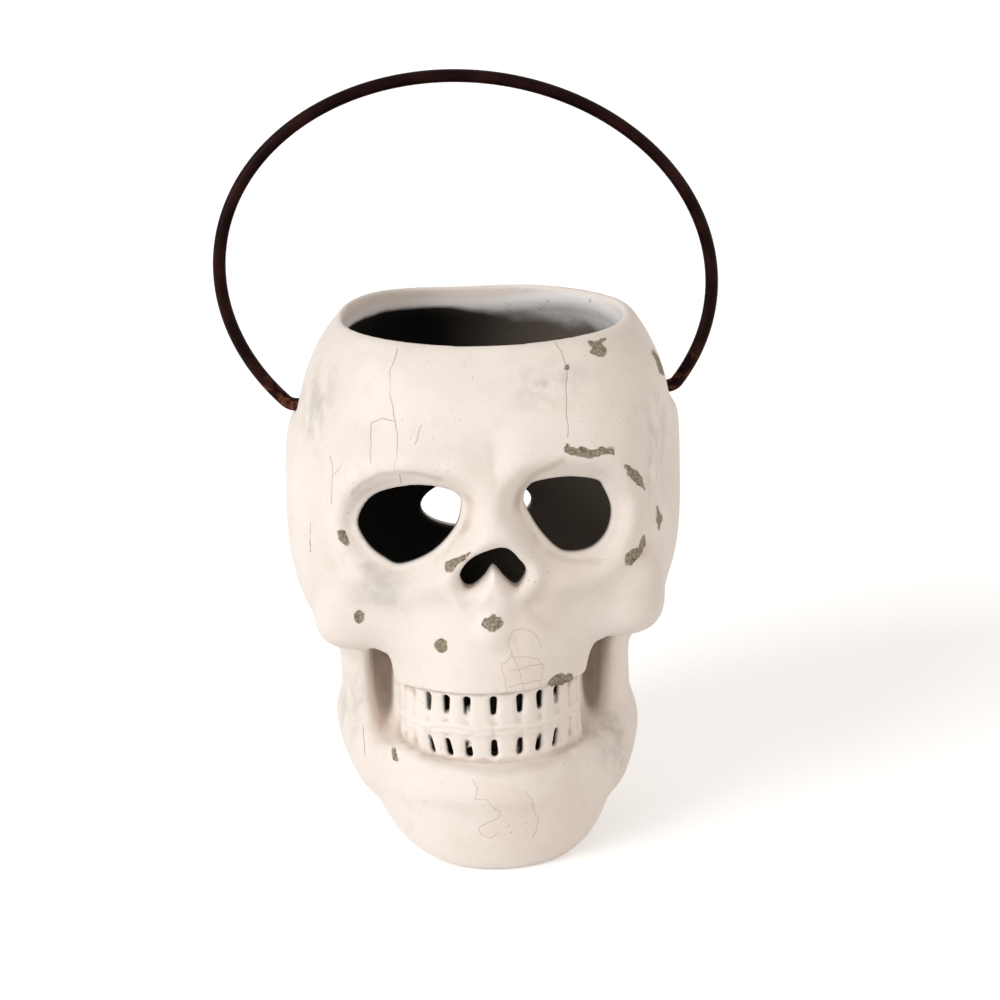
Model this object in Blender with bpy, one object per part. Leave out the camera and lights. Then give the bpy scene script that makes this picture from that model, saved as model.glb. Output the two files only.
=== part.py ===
"""Skull candle holder: one hollow casting, open at the top, with a wire bail hooked in its temples.

Metres, +Z up. The face looks along -Y and X runs to the viewer's right. The origin is on the flat
base, under the middle of the skull. The casting is a field of signed distances, negative inside,
that is built up from blended forms and then meshed, so that its hollow keeps an even wall.
"""

import math

import bmesh
import bpy
import numpy as np
import openvdb

# Casting
WALL = 0.007
FLOOR_HEIGHT = 0.014
FLOOR_FILLET = 0.010
WALL_ROUNDING = 0.002
LEAN = 0.040
LEAN_LEVEL = 0.090
LEAN_FOOT = 0.050
GRID = 0.0014
TINY = 1e-3
FINE_STEP = 0.0001
SKULL_TRIANGLES = 8200

# Cranium: half sizes across and front to back, and how much of its height the open top takes away
CRANIUM_HEIGHT = 0.112
CRANIUM_HALF_WIDTH = 0.0647
CRANIUM_HALF_LENGTH = 0.0755
CRANIUM_POWER = 2.5
CROWN_CUT = 0.014
LEDGE_HEIGHT = 0.1335
LEDGE_DEPTH = 0.0028
LEDGE_STEP = 0.005
TEMPLE_AT = (0.071, -0.041, 0.121)
TEMPLE_SIZE = (0.0140, 0.023, 0.022)
TEMPLE_FILLET = 0.018

# Open top
MOUTH_HALF_WIDTH = 0.0452
MOUTH_HALF_LENGTH = 0.0545
MOUTH_POWER = 2.2
RIM_HEIGHT = 0.1655
RIM_FALL = 0.026
RIM_RISE = 0.020
RIM_ROUNDING = 0.0024

# Brow and nasal bridge
BROW_IN = (0.009, -0.0700, 0.1285)
BROW_OUT = (0.036, -0.0585, 0.1300)
BROW_RADIUS = 0.0064
BROW_FILLET = 0.010
BRIDGE_TOP = (0.0, -0.0690, 0.124)
BRIDGE_END = (0.0, -0.0730, 0.108)
BRIDGE_RADII = (0.0070, 0.0062)
BRIDGE_FILLET = 0.010
SPINE_TOP = (0.0, -0.0755, 0.0985)
SPINE_END = (0.0, -0.0775, 0.0800)
SPINE_RADII = (0.0012, 0.0028)
SPINE_FILLET = 0.006

# Cheekbones, and the arches that run back from them
CHEEK_AT = (0.0368, -0.0480, 0.0838)
CHEEK_SIZE = (0.0180, 0.0205, 0.0146)
CHEEK_POWER = 3.0
CHEEK_FILLET = 0.005
ARCH_BONE_FRONT = (0.0440, -0.0400, 0.0840)
ARCH_BONE_BACK = (0.0530, -0.0020, 0.0900)
ARCH_BONE_RADIUS = 0.0080
ARCH_BONE_FILLET = 0.008

# Dental arch: an oval plan about its own middle
DENTAL_Y = -0.050
DENTAL_HALF_WIDTH = 0.0288
DENTAL_REACH = 0.0290
UPPER_GUM = 0.0612
BITE = 0.0490
BITE_BAND = 0.0026
LOWER_GUM = 0.0362
GUM_LIP = 0.0018
GUM_ROUNDING = 0.0024
LOWER_GUM_TALL = 0.007
LOWER_GUM_FILLET = 0.012
MAXILLA_TOP = 0.088
MAXILLA_ROUNDING = 0.018
MAXILLA_FILLET = 0.014
GROOVE_RADIUS = 0.0014
GROOVE_OUTSET = 0.0004
GROOVE_FILLET = 0.0015
TEETH_FILLET = 0.001
FRONT_TOOTH_ANGLE = 16.8
SIDE_TOOTH_ANGLE = 13.7
GROOVES_PER_SIDE = 5
SLOT_WIDTH = 0.0022
UPPER_SLOT = (0.0535, 0.0598)
LOWER_SLOT = (0.0405, 0.0462)
OPEN_SLOTS = 3
SLOT_REACH = 0.012
SLOT_END_STEPS = 4

# Lower jaw, its branches and the chin
JAW_ANGLE_Y = -0.008
JAW_HALF_WIDTH = 0.0490
JAW_REACH = 0.0715
JAW_BACK = 0.018
JAW_POWER = 1.9
JAW_TAPER = 0.17
JAW_TAPER_HEIGHT = 0.038
JAW_TILT = 0.05
JAW_TOE_Y = -0.070
JAW_SLOPE = 0.53
JAW_ROUNDING = 0.007
JAW_FILLET = 0.004
BRANCH_HALF_WIDTH = 0.0475
BRANCH_FRONT_Y = -0.0400
BRANCH_TOP = 0.080
BRANCH_ROUNDING = 0.005
BRANCH_FILLET = 0.008
CHIN_AT = (0.0, -0.0560, 0.0160)
CHIN_SIZE = (0.0260, 0.0180, 0.0150)
CHIN_FILLET = 0.018
RECESS_AT = (0.0350, -0.0460, 0.0580)
RECESS_SIZE = (0.0042, 0.0200, 0.0190)
RECESS_SLANT = 0.12
RECESS_POWER = 2.5
RECESS_FILLET = 0.004

# Hidden neck block under the cranium, which gives the base its flat
NECK_Y = 0.004
NECK_HALF_WIDTH = 0.030
NECK_FRONT = 0.050
NECK_BACK = 0.055
NECK_TOP = 0.070
NECK_POWER = 2.2
NECK_ROUNDING = 0.004
NECK_FILLET = 0.010

# Eye holes and nose hole: middles, then outlines about them, clockwise from the viewer's left
LEFT_EYE_AT = (-0.0250, 0.1123)
LEFT_EYE_OUTLINE = (
    (-0.0154, 0.0002), (-0.0103, 0.0088), (0.0009, 0.0124), (0.0104, 0.0116),
    (0.0150, 0.0090), (0.0156, 0.0055), (0.0138, -0.0006), (0.0071, -0.0080),
    (-0.0023, -0.0123), (-0.0074, -0.0107), (-0.0125, -0.0067),
)
RIGHT_EYE_AT = (0.0232, 0.1130)
RIGHT_EYE_OUTLINE = (
    (-0.0137, 0.0065), (-0.0126, 0.0098), (-0.0097, 0.0117), (-0.0004, 0.0120),
    (0.0083, 0.0098), (0.0111, 0.0064), (0.0135, -0.0005), (0.0121, -0.0072),
    (0.0077, -0.0112), (0.0014, -0.0118), (-0.0033, -0.0099), (-0.0087, -0.0037),
    (-0.0126, 0.0031),
)
NOSE_AT = (0.0001, 0.0996)
NOSE_OUTLINE = (
    (-0.0101, -0.0022), (-0.0084, 0.0017), (-0.0052, 0.0049), (-0.0007, 0.0068),
    (0.0032, 0.0071), (0.0058, 0.0053), (0.0079, 0.0024), (0.0096, 0.0000),
    (0.0100, -0.0034), (0.0073, -0.0069), (0.0040, -0.0047), (0.0008, -0.0006),
    (-0.0005, -0.0006), (-0.0026, -0.0037), (-0.0059, -0.0063), (-0.0085, -0.0060),
)
OUTLINE_STEPS = 5
ORBIT_DIP = 0.0034
ORBIT_DIP_WIDTH = 0.0046
ORBIT_SWELL = 0.0015
ORBIT_SWELL_AT = 0.0080
ORBIT_SWELL_WIDTH = 0.0046
NOSE_SWELL = 0.0011
NOSE_SWELL_AT = 0.0032
NOSE_SWELL_WIDTH = 0.0026
HOLE_ROUNDING = 0.0016
FACE_DEPTH = 0.030
FACE_FADE = 0.010

# Vent through the back wall
VENT_HEIGHT = 0.0848
VENT_HALF_WIDTH = 0.0198
VENT_HALF_TALL = 0.0086

# Bail: a wire loop with a straight pivot and a hook at each end
WIRE_DIAMETER = 0.0042
PIVOT_HEIGHT = 0.1371
PIVOT_CLEARANCE = 0.0006
PIVOT_HOLE_SIDES = 20
BAIL_RISE = 0.1035
BAIL_BULGE = 0.0165
BAIL_LEAN = -0.085
BEND_REACH = 0.0024
HOOK_CLEARANCE = 0.0060
HOOK_RISE = 0.0085
LOOP_STEPS = 34
BEND_STEPS = 4

BASE_TRIM = 0.006
REACH_PAST = 0.020


def blend(first, second, radius):
    """Union of two forms with a smooth fillet."""
    overlap = np.maximum(radius - np.abs(first - second), 0) / radius
    return np.minimum(first, second) - overlap * overlap * radius / 4


def common(first, second, radius):
    """What two forms share, with its edge rounded."""
    return -blend(-first, -second, radius)


def carve(form, hole, radius):
    """The form with the hole taken out and the edge rounded."""
    return common(form, -hole, radius)


def oval(parts, sizes, power):
    """Distance to an oval of two or three half sizes; a power over 2 makes it boxier."""
    shares = [np.abs(part) / size for part, size in zip(parts, sizes)]
    reach = sum(share**power for share in shares) ** (1 / power)
    reach = np.maximum(reach, TINY)
    steepness = sum((share ** (power - 1) / size) ** 2 for share, size in zip(shares, sizes))
    return (reach - 1) * reach ** (power - 1) / np.sqrt(np.maximum(steepness, TINY))


def blob(at, centre, sizes, power=2.0):
    return oval([part - middle for part, middle in zip(at, centre)], sizes, power)


def column(at, middle_y, half_width, front, back, power):
    """Distance to an upright column with an oval plan that reaches further to one end."""
    x, y, _ = at
    depth = np.where(y < middle_y, front, back)
    return oval([x, y - middle_y], [half_width, depth], power)


def bar(at, start, end, start_radius, end_radius):
    """Distance to a round bar that tapers from one radius to another."""
    along = [b - a for a, b in zip(start, end)]
    span = sum(part * part for part in along)
    share = sum((part - a) * b for part, a, b in zip(at, start, along)) / span
    share = np.clip(share, 0, 1)
    gap = sum((part - a - b * share) ** 2 for part, a, b in zip(at, start, along))
    return np.sqrt(gap) - (start_radius + (end_radius - start_radius) * share)


def smooth_outline(centre, points):
    """Points of a smooth closed curve through an outline's own points."""
    loop = np.array(points) + centre
    before, after, later = (np.roll(loop, shift, axis=0) for shift in (1, -1, -2))
    curve = []
    for step in np.arange(OUTLINE_STEPS) / OUTLINE_STEPS:
        curve.append(
            loop
            + step * (after - before) / 2
            + step**2 * (before - 2.5 * loop + 2 * after - 0.5 * later)
            + step**3 * (1.5 * (loop - after) + 0.5 * (later - before))
        )
    return np.stack(curve, axis=1).reshape(-1, 2)


def outline_distance(x, z, curve):
    """Distance in the XZ plane to a closed curve, negative inside it."""
    nearest = np.full(np.broadcast(x, z).shape, np.inf)
    inside = np.zeros(nearest.shape, bool)
    for (x0, z0), (x1, z1) in zip(curve, np.roll(curve, -1, axis=0)):
        run, rise = x1 - x0, z1 - z0
        share = np.clip(((x - x0) * run + (z - z0) * rise) / (run * run + rise * rise), 0, 1)
        nearest = np.minimum(nearest, np.hypot(x - x0 - run * share, z - z0 - rise * share))
        if rise:
            inside ^= ((z0 > z) != (z1 > z)) & (x < x0 + run * (z - z0) / rise)
    return np.where(inside, -nearest, nearest)


def bump(distance, middle, width):
    return np.exp(-(((distance - middle) / width) ** 2))


def midline(z):
    """X of the face's midline: above the teeth the casting leans a little as it rises."""
    return LEAN * (np.maximum(z, LEAN_FOOT) - LEAN_LEVEL)


def cranium(at):
    x, y, z = at
    half_tall = RIM_HEIGHT + CROWN_CUT - CRANIUM_HEIGHT
    half_sizes = (CRANIUM_HALF_WIDTH, CRANIUM_HALF_LENGTH, half_tall)
    form = blob(at, (0, 0, CRANIUM_HEIGHT), half_sizes, CRANIUM_POWER)
    sideways = np.clip(2 * np.abs(x) / CRANIUM_HALF_WIDTH - 1, 0, 1)
    step = 1 / (1 + np.exp(-4 * (z - LEDGE_HEIGHT) / LEDGE_STEP))
    fade = np.clip((RIM_HEIGHT - z) / (RIM_HEIGHT - LEDGE_HEIGHT), 0, 1) ** 0.5
    form = form + LEDGE_DEPTH * sideways * step * fade
    return carve(form, blob((np.abs(x), y, z), TEMPLE_AT, TEMPLE_SIZE), TEMPLE_FILLET)


def neck(at):
    x, y, z = at
    plan = column(at, NECK_Y, NECK_HALF_WIDTH, NECK_FRONT, NECK_BACK, NECK_POWER)
    height = np.maximum(z - NECK_TOP, -BASE_TRIM - z)
    return common(plan, height, NECK_ROUNDING)


def cheekbones(at):
    x, y, z = at
    side = (np.abs(x), y, z)
    body = blob(side, CHEEK_AT, CHEEK_SIZE, CHEEK_POWER)
    arch = bar(side, ARCH_BONE_FRONT, ARCH_BONE_BACK, ARCH_BONE_RADIUS, ARCH_BONE_RADIUS)
    return blend(body, arch, ARCH_BONE_FILLET)


def dental_plan(at, lip=0.0):
    """The plan of the dental arch, or of a gum that stands a lip's width proud of it."""
    return column(at, DENTAL_Y, DENTAL_HALF_WIDTH + lip, DENTAL_REACH + lip, -DENTAL_Y, 2.0)


def upper_jaw(at):
    z = at[2]
    form = common(dental_plan(at, GUM_LIP), z - MAXILLA_TOP, MAXILLA_ROUNDING)
    return common(form, UPPER_GUM - z, GUM_ROUNDING)


def jaw_plan(at, half_width):
    """The lower jaw's plan, which tapers in towards the base."""
    x, y, z = at
    drop = np.clip((JAW_TAPER_HEIGHT - z) / JAW_TAPER_HEIGHT, 0, 1)
    taper = 1 - JAW_TAPER * drop**2
    spread = (x / taper, JAW_ANGLE_Y + (y - JAW_ANGLE_Y) / taper, z)
    return column(spread, JAW_ANGLE_Y, half_width, JAW_REACH, JAW_BACK, JAW_POWER)


def lower_jaw(at):
    x, y, z = at
    z = z + JAW_TILT * x
    at = (x, y, z)
    border = ((y - JAW_TOE_Y) * JAW_SLOPE - z) / math.hypot(1, JAW_SLOPE)
    body = common(jaw_plan(at, JAW_HALF_WIDTH), border, JAW_ROUNDING)
    body = common(body, z - LOWER_GUM, JAW_ROUNDING)
    branch = common(jaw_plan(at, BRANCH_HALF_WIDTH), BRANCH_FRONT_Y - y, BRANCH_ROUNDING)
    branch = common(branch, np.maximum(border, z - BRANCH_TOP), JAW_ROUNDING)
    jaw = blend(body, branch, BRANCH_FILLET)
    gum = np.maximum(z - LOWER_GUM, LOWER_GUM - LOWER_GUM_TALL - z)
    gum = common(dental_plan(at, GUM_LIP), gum, GUM_ROUNDING)
    jaw = blend(jaw, gum, LOWER_GUM_FILLET)
    return blend(jaw, blob(at, CHIN_AT, CHIN_SIZE), CHIN_FILLET)


def cheek_recess(at):
    """The blind slot at each side, between the teeth and the jaw's branch."""
    x, y, z = at
    across = np.abs(x) - RECESS_SLANT * (z - RECESS_AT[2])
    return blob((across, y, z), RECESS_AT, RECESS_SIZE, RECESS_POWER)


def teeth_band(at):
    """The band of both rows of teeth, between the gums."""
    z = at[2]
    return np.maximum(dental_plan(at), np.maximum(z - UPPER_GUM - WALL, LOWER_GUM - WALL - z))


def plain_form(at):
    """The skull without its fine relief, which the hollow follows a wall's thickness inside."""
    form = blend(cranium(at), cheekbones(at), CHEEK_FILLET)
    form = blend(form, neck(at), NECK_FILLET)
    form = blend(form, upper_jaw(at), MAXILLA_FILLET)
    form = blend(form, lower_jaw(at), JAW_FILLET)
    form = blend(form, teeth_band(at), TEETH_FILLET)
    return carve(form, cheek_recess(at), RECESS_FILLET)


def arch_point(angle, inset=0.0):
    """A place on the dental arch, and the outward direction there; 0 degrees is the front."""
    turn = math.radians(angle)
    wide, deep = DENTAL_HALF_WIDTH, DENTAL_REACH
    outward = np.array((math.sin(turn) / wide, -math.cos(turn) / deep))
    outward /= np.linalg.norm(outward)
    place = np.array((wide * math.sin(turn), DENTAL_Y - deep * math.cos(turn)))
    return place - inset * outward, outward


def gap_angle(number):
    """Angle of the gap between two teeth, counted from the middle one, which is 0."""
    if number == 0:
        return 0.0
    return math.copysign(FRONT_TOOTH_ANGLE + (abs(number) - 1) * SIDE_TOOTH_ANGLE, number)


def tooth_grooves(at):
    """Upright grooves between the teeth of each row, which stop short of the bite."""
    form = np.inf
    for number in range(-GROOVES_PER_SIDE, GROOVES_PER_SIDE + 1):
        (x, y), _ = arch_point(gap_angle(number), -GROOVE_OUTSET)
        for low, high in ((LOWER_GUM, BITE - BITE_BAND), (BITE + BITE_BAND, UPPER_GUM - GROOVE_RADIUS)):
            groove = bar(at, (x, y, low), (x, y, high), GROOVE_RADIUS, GROOVE_RADIUS)
            form = np.minimum(form, groove)
    return form


def relief_height(at, outlines):
    """How far the face stands out, or in, around its holes."""
    x, y, z = at
    height = 0
    for name in ("left_eye", "right_eye"):
        distance = outlines[name]
        height = height + ORBIT_SWELL * bump(distance, ORBIT_SWELL_AT, ORBIT_SWELL_WIDTH)
        height = height - ORBIT_DIP * bump(np.maximum(distance, 0), 0, ORBIT_DIP_WIDTH)
    height = height + NOSE_SWELL * bump(outlines["nose"], NOSE_SWELL_AT, NOSE_SWELL_WIDTH)
    return height * np.clip((-FACE_DEPTH - y) / FACE_FADE, 0, 1)


def fine_form(at, outlines):
    """The outer skull with its brow, nose, teeth and socket rims."""
    x, y, z = at
    side = (np.abs(x), y, z)
    form = plain_form(at)
    form = blend(form, bar(side, BROW_IN, BROW_OUT, BROW_RADIUS, BROW_RADIUS), BROW_FILLET)
    form = blend(form, bar(at, BRIDGE_TOP, BRIDGE_END, *BRIDGE_RADII), BRIDGE_FILLET)
    form = blend(form, bar(at, SPINE_TOP, SPINE_END, *SPINE_RADII), SPINE_FILLET)
    form = form - relief_height(at, outlines)
    return carve(form, tooth_grooves(at), GROOVE_FILLET)


def hollow(at):
    """The space inside: the plain form a wall's thickness in, above the floor."""
    return common(plain_form(at) + WALL, FLOOR_HEIGHT - at[2], FLOOR_FILLET)


def top_opening(at):
    x, y, z = at
    plan = oval([x, y], (MOUTH_HALF_WIDTH, MOUTH_HALF_LENGTH), MOUTH_POWER)
    return np.maximum(plan, CRANIUM_HEIGHT - z)


def above_rim(at):
    x, y, z = at
    return RIM_HEIGHT - RIM_FALL * x + RIM_RISE * y - z


def back_vent(at):
    x, y, z = at
    plan = oval([x, z - VENT_HEIGHT], (VENT_HALF_WIDTH, VENT_HALF_TALL), 2.0)
    return np.maximum(plan, -y)


def hole_outlines(x, z):
    """Distances in the face's plane to the edges of the eye holes and the nose hole."""
    shapes = {
        "left_eye": (LEFT_EYE_AT, LEFT_EYE_OUTLINE),
        "right_eye": (RIGHT_EYE_AT, RIGHT_EYE_OUTLINE),
        "nose": (NOSE_AT, NOSE_OUTLINE),
    }
    return {
        name: outline_distance(x, z, smooth_outline(centre, points))
        for name, (centre, points) in shapes.items()
    }


def casting(at):
    """The whole casting, apart from the base, the pivot holes and the slots between the teeth."""
    x, y, z = at
    outlines = hole_outlines(x, z)
    form = fine_form(at, outlines)
    form = carve(form, hollow(at), WALL_ROUNDING)
    form = carve(form, top_opening(at), RIM_ROUNDING)
    form = carve(form, above_rim(at), RIM_ROUNDING)
    for distance in outlines.values():
        form = carve(form, np.maximum(distance, y + FACE_DEPTH), HOLE_ROUNDING)
    return carve(form, back_vent(at), HOLE_ROUNDING)


def sample_points():
    """Grid of points round the skull, with X measured from the leaning midline."""
    margin = 3 * GRID
    half_width = CRANIUM_HALF_WIDTH + margin + abs(LEAN) * CRANIUM_HEIGHT
    front = DENTAL_REACH - DENTAL_Y + GUM_LIP + margin
    lowest = (-half_width, -front, -BASE_TRIM - margin)
    rim_lift = abs(RIM_FALL) * CRANIUM_HALF_WIDTH + abs(RIM_RISE) * CRANIUM_HALF_LENGTH
    highest = (half_width, CRANIUM_HALF_LENGTH + margin, RIM_HEIGHT + rim_lift + margin)
    axes = [np.arange(low, high, GRID) for low, high in zip(lowest, highest)]
    x, y, z = np.meshgrid(*axes, indexing="ij", sparse=True)
    return lowest, (x - midline(z), y, z)


def mesh_from_field(name, lowest, field):
    grid = openvdb.FloatGrid()
    grid.copyFromArray(np.ascontiguousarray(field, dtype=np.float32))
    points, triangles, quads = grid.convertToPolygons(0.0, 0.0)
    points = np.array(points) * GRID + lowest
    faces = [tuple(face) for face in triangles] + [tuple(face) for face in quads]
    mesh = bpy.data.meshes.new(name)
    mesh.from_pydata(points.tolist(), [], faces)
    work = bmesh.new()
    work.from_mesh(mesh)
    bmesh.ops.recalc_face_normals(work, faces=work.faces)
    work.to_mesh(mesh)
    work.free()
    return mesh


def face_of(field, height):
    """How far out a form reaches at the sides, at a height and at the pivot's Y."""
    x = np.arange(0, 2 * CRANIUM_HALF_WIDTH, FINE_STEP).reshape(-1, 1, 1)
    at = (x, np.zeros((1, 1, 1)), np.full((1, 1, 1), height))
    return float(x[field(at) < 0].max())


def new_material(name, colour, roughness, metallic):
    material = bpy.data.materials.new(name)
    material.use_nodes = True
    shader = material.node_tree.nodes["Principled BSDF"]
    shader.inputs["Base Color"].default_value = (*colour, 1)
    shader.inputs["Roughness"].default_value = roughness
    shader.inputs["Metallic"].default_value = metallic
    return material


def add_object(name, data, location=(0, 0, 0)):
    thing = bpy.data.objects.new(name, data)
    thing.location = location
    bpy.context.scene.collection.objects.link(thing)
    return thing


def add_cutter(target, name, work):
    """Takes a bmesh out of the target with a Boolean."""
    bmesh.ops.recalc_face_normals(work, faces=work.faces)
    mesh = bpy.data.meshes.new(name)
    work.to_mesh(mesh)
    work.free()
    cutter = add_object(name, mesh)
    cutter.hide_render = True
    cutter.display_type = "WIRE"
    cut = target.modifiers.new(name, "BOOLEAN")
    cut.operation = "DIFFERENCE"
    cut.object = cutter


def extrude_outline(work, points, shift):
    """A closed prism from a flat outline of points and a sideways shift."""
    corners = [work.verts.new(point) for point in points]
    face = work.faces.new(corners)
    moved = bmesh.ops.extrude_face_region(work, geom=[face])["geom"]
    corners = [part for part in moved if isinstance(part, bmesh.types.BMVert)]
    bmesh.ops.translate(work, verts=corners, vec=shift)


def cut_base(skull):
    work = bmesh.new()
    half = CRANIUM_HALF_LENGTH + REACH_PAST
    bottom = -BASE_TRIM - REACH_PAST
    corners = [(-half, -half, bottom), (half, -half, bottom), (half, half, bottom), (-half, half, bottom)]
    extrude_outline(work, corners, (0, 0, -bottom))
    add_cutter(skull, "base_cutter", work)


def cut_pivot_holes(skull):
    work = bmesh.new()
    radius = WIRE_DIAMETER / 2 + PIVOT_CLEARANCE
    reach = CRANIUM_HALF_WIDTH + REACH_PAST
    turns = [2 * math.pi * step / PIVOT_HOLE_SIDES for step in range(PIVOT_HOLE_SIDES)]
    ring = [(-reach, radius * math.cos(turn), PIVOT_HEIGHT + radius * math.sin(turn)) for turn in turns]
    extrude_outline(work, ring, (2 * reach, 0, 0))
    add_cutter(skull, "pivot_cutter", work)


def slot_ring(angle, heights, inset):
    """Round-ended outline of one slot between two teeth, across the dental arch."""
    place, outward = arch_point(angle, inset)
    across = np.array((-outward[1], outward[0]))
    radius = SLOT_WIDTH / 2
    low, high = heights[0] + radius, heights[1] - radius
    ring = []
    for end, first_turn in ((high, 0), (low, math.pi)):
        for step in range(SLOT_END_STEPS + 1):
            turn = first_turn + math.pi * step / SLOT_END_STEPS
            level = end + radius * math.sin(turn)
            x, y = place + across * radius * math.cos(turn)
            ring.append((x + midline(level), y, level))
    return ring, outward


def cut_tooth_slots(skull):
    work = bmesh.new()
    for number in range(-OPEN_SLOTS, OPEN_SLOTS + 1):
        for heights in (UPPER_SLOT, LOWER_SLOT):
            ring, outward = slot_ring(gap_angle(number), heights, SLOT_REACH)
            shift = outward * (SLOT_REACH + GUM_LIP)
            extrude_outline(work, ring, (shift[0], shift[1], 0))
    add_cutter(skull, "tooth_slot_cutter", work)


def make_skull(material):
    lowest, at = sample_points()
    mesh = mesh_from_field("skull", lowest, casting(at))
    mesh.materials.append(material)
    skull = add_object("skull", mesh)
    mesh.shade_smooth()
    thin = skull.modifiers.new("thin", "DECIMATE")
    thin.ratio = SKULL_TRIANGLES / (2 * len(mesh.polygons))
    cut_base(skull)
    cut_pivot_holes(skull)
    cut_tooth_slots(skull)


def corner(start, bend, end, steps=BEND_STEPS):
    """Points of a smooth turn from start to end, past the bend."""
    points = []
    for step in range(steps + 1):
        share = step / steps
        points.append(
            tuple(
                a * (1 - share) ** 2 + 2 * b * share * (1 - share) + c * share**2
                for a, b, c in zip(start, bend, end)
            )
        )
    return points


def loop_point(turn, half_width, rise, middle):
    return half_width * math.sin(turn), middle + rise * math.cos(turn)


def bail_side(outer_face, inner_face):
    """Half of the bail's route from hook tip to crown, as sideways and upward distances."""
    foot = outer_face + BEND_REACH
    half_width = foot + BAIL_BULGE
    narrow = math.sqrt(1 - (foot / half_width) ** 2)
    rise = BAIL_RISE / (1 + narrow)
    middle = rise * narrow
    last_turn = math.pi - math.asin(foot / half_width)
    hook = inner_face - HOOK_CLEARANCE
    route = [(hook, HOOK_RISE)]
    route += corner((hook, WIRE_DIAMETER), (hook, 0), (hook + WIRE_DIAMETER, 0))
    first_turn = last_turn - BEND_REACH / half_width
    route += corner((outer_face, 0), (foot, 0), loop_point(first_turn, half_width, rise, middle))
    for step in range(1, LOOP_STEPS // 2 + 1):
        turn = first_turn * (1 - 2 * step / LOOP_STEPS)
        route.append(loop_point(turn, half_width, rise, middle))
    return route


def make_bail(material):
    """The wire, with its origin on the pivot's axis."""
    outer_face = face_of(plain_form, PIVOT_HEIGHT)
    inner_face = face_of(hollow, PIVOT_HEIGHT)
    side = bail_side(outer_face, inner_face)
    route = [(-across, up) for across, up in side] + [(across, up) for across, up in side[-2::-1]]
    curve = bpy.data.curves.new("bail", "CURVE")
    curve.dimensions = "3D"
    curve.bevel_depth = WIRE_DIAMETER / 2
    curve.bevel_resolution = 4
    curve.use_fill_caps = True
    spline = curve.splines.new("POLY")
    spline.points.add(len(route) - 1)
    for point, (across, up) in zip(spline.points, route):
        point.co = (across + BAIL_LEAN * up, 0, up, 1)
    curve.materials.append(material)
    add_object("bail", curve, (midline(PIVOT_HEIGHT), 0, PIVOT_HEIGHT))


def main():
    for thing in list(bpy.data.objects):
        bpy.data.objects.remove(thing)
    make_skull(new_material("painted casting", (0.86, 0.77, 0.70), 0.55, 0.0))
    make_bail(new_material("dark wire", (0.022, 0.008, 0.006), 0.42, 0.6))


main()
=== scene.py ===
"""Looks of the skull candle holder: a fine mesh of the painted casting and its wire handle, with
their paint, cracks, chips, stains, soot, and painted shade and light, on a pale floor in soft light.

Metres, +Z up, the face towards -Y, as in the model that it is built around. The casting is the same field
of signed distances as in the model's own source, with the relief that is too fine for that.
"""

import math

import bmesh
import bpy
import numpy as np
import openvdb
from mathutils import Matrix, Vector


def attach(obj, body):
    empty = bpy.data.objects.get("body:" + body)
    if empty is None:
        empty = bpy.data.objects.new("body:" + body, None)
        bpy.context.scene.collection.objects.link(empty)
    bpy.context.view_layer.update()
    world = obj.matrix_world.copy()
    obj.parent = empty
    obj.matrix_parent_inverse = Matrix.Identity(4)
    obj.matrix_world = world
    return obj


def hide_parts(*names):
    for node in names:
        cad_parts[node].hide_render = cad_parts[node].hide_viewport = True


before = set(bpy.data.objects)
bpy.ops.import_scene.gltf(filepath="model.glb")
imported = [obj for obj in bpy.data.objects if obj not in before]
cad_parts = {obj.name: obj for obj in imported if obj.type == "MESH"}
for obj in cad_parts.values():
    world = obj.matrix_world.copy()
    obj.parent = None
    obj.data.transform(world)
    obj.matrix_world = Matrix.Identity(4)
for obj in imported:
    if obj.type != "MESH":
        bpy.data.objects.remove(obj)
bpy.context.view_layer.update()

# Casting
WALL = 0.007
FLOOR_HEIGHT = 0.014
FLOOR_FILLET = 0.010
LEAN = 0.040
LEAN_LEVEL = 0.090
LEAN_FOOT = 0.050
TINY = 1e-3

# Cranium: half sizes across and front to back, and how much of its height the open top takes away
CRANIUM_HEIGHT = 0.112
CRANIUM_HALF_WIDTH = 0.0647
CRANIUM_HALF_LENGTH = 0.0755
CRANIUM_POWER = 2.5
CROWN_CUT = 0.014
LEDGE_HEIGHT = 0.1335
LEDGE_DEPTH = 0.0028
LEDGE_STEP = 0.005
TEMPLE_AT = (0.071, -0.041, 0.121)
TEMPLE_SIZE = (0.0140, 0.023, 0.022)
TEMPLE_FILLET = 0.018

# Open top
MOUTH_HALF_WIDTH = 0.0452
MOUTH_HALF_LENGTH = 0.0545
MOUTH_POWER = 2.2
RIM_HEIGHT = 0.1655
RIM_FALL = 0.026
RIM_RISE = 0.020
RIM_ROUNDING = 0.0024

# Brow and nasal bridge
BROW_IN = (0.009, -0.0700, 0.1285)
BROW_OUT = (0.036, -0.0585, 0.1300)
BROW_RADIUS = 0.0064
BROW_FILLET = 0.010
BRIDGE_TOP = (0.0, -0.0690, 0.124)
BRIDGE_END = (0.0, -0.0730, 0.108)
BRIDGE_RADII = (0.0070, 0.0062)
BRIDGE_FILLET = 0.010
SPINE_TOP = (0.0, -0.0755, 0.0985)
SPINE_END = (0.0, -0.0775, 0.0800)
SPINE_RADII = (0.0012, 0.0028)
SPINE_FILLET = 0.006

# Cheekbones, and the arches that run back from them
CHEEK_AT = (0.0368, -0.0480, 0.0843)
CHEEK_SIZE = (0.0180, 0.0205, 0.0141)
CHEEK_POWER = 3.0
CHEEK_FILLET = 0.005
ARCH_BONE_FRONT = (0.0440, -0.0400, 0.0840)
ARCH_BONE_BACK = (0.0530, -0.0020, 0.0900)
ARCH_BONE_RADIUS = 0.0080
ARCH_BONE_FILLET = 0.008

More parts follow.
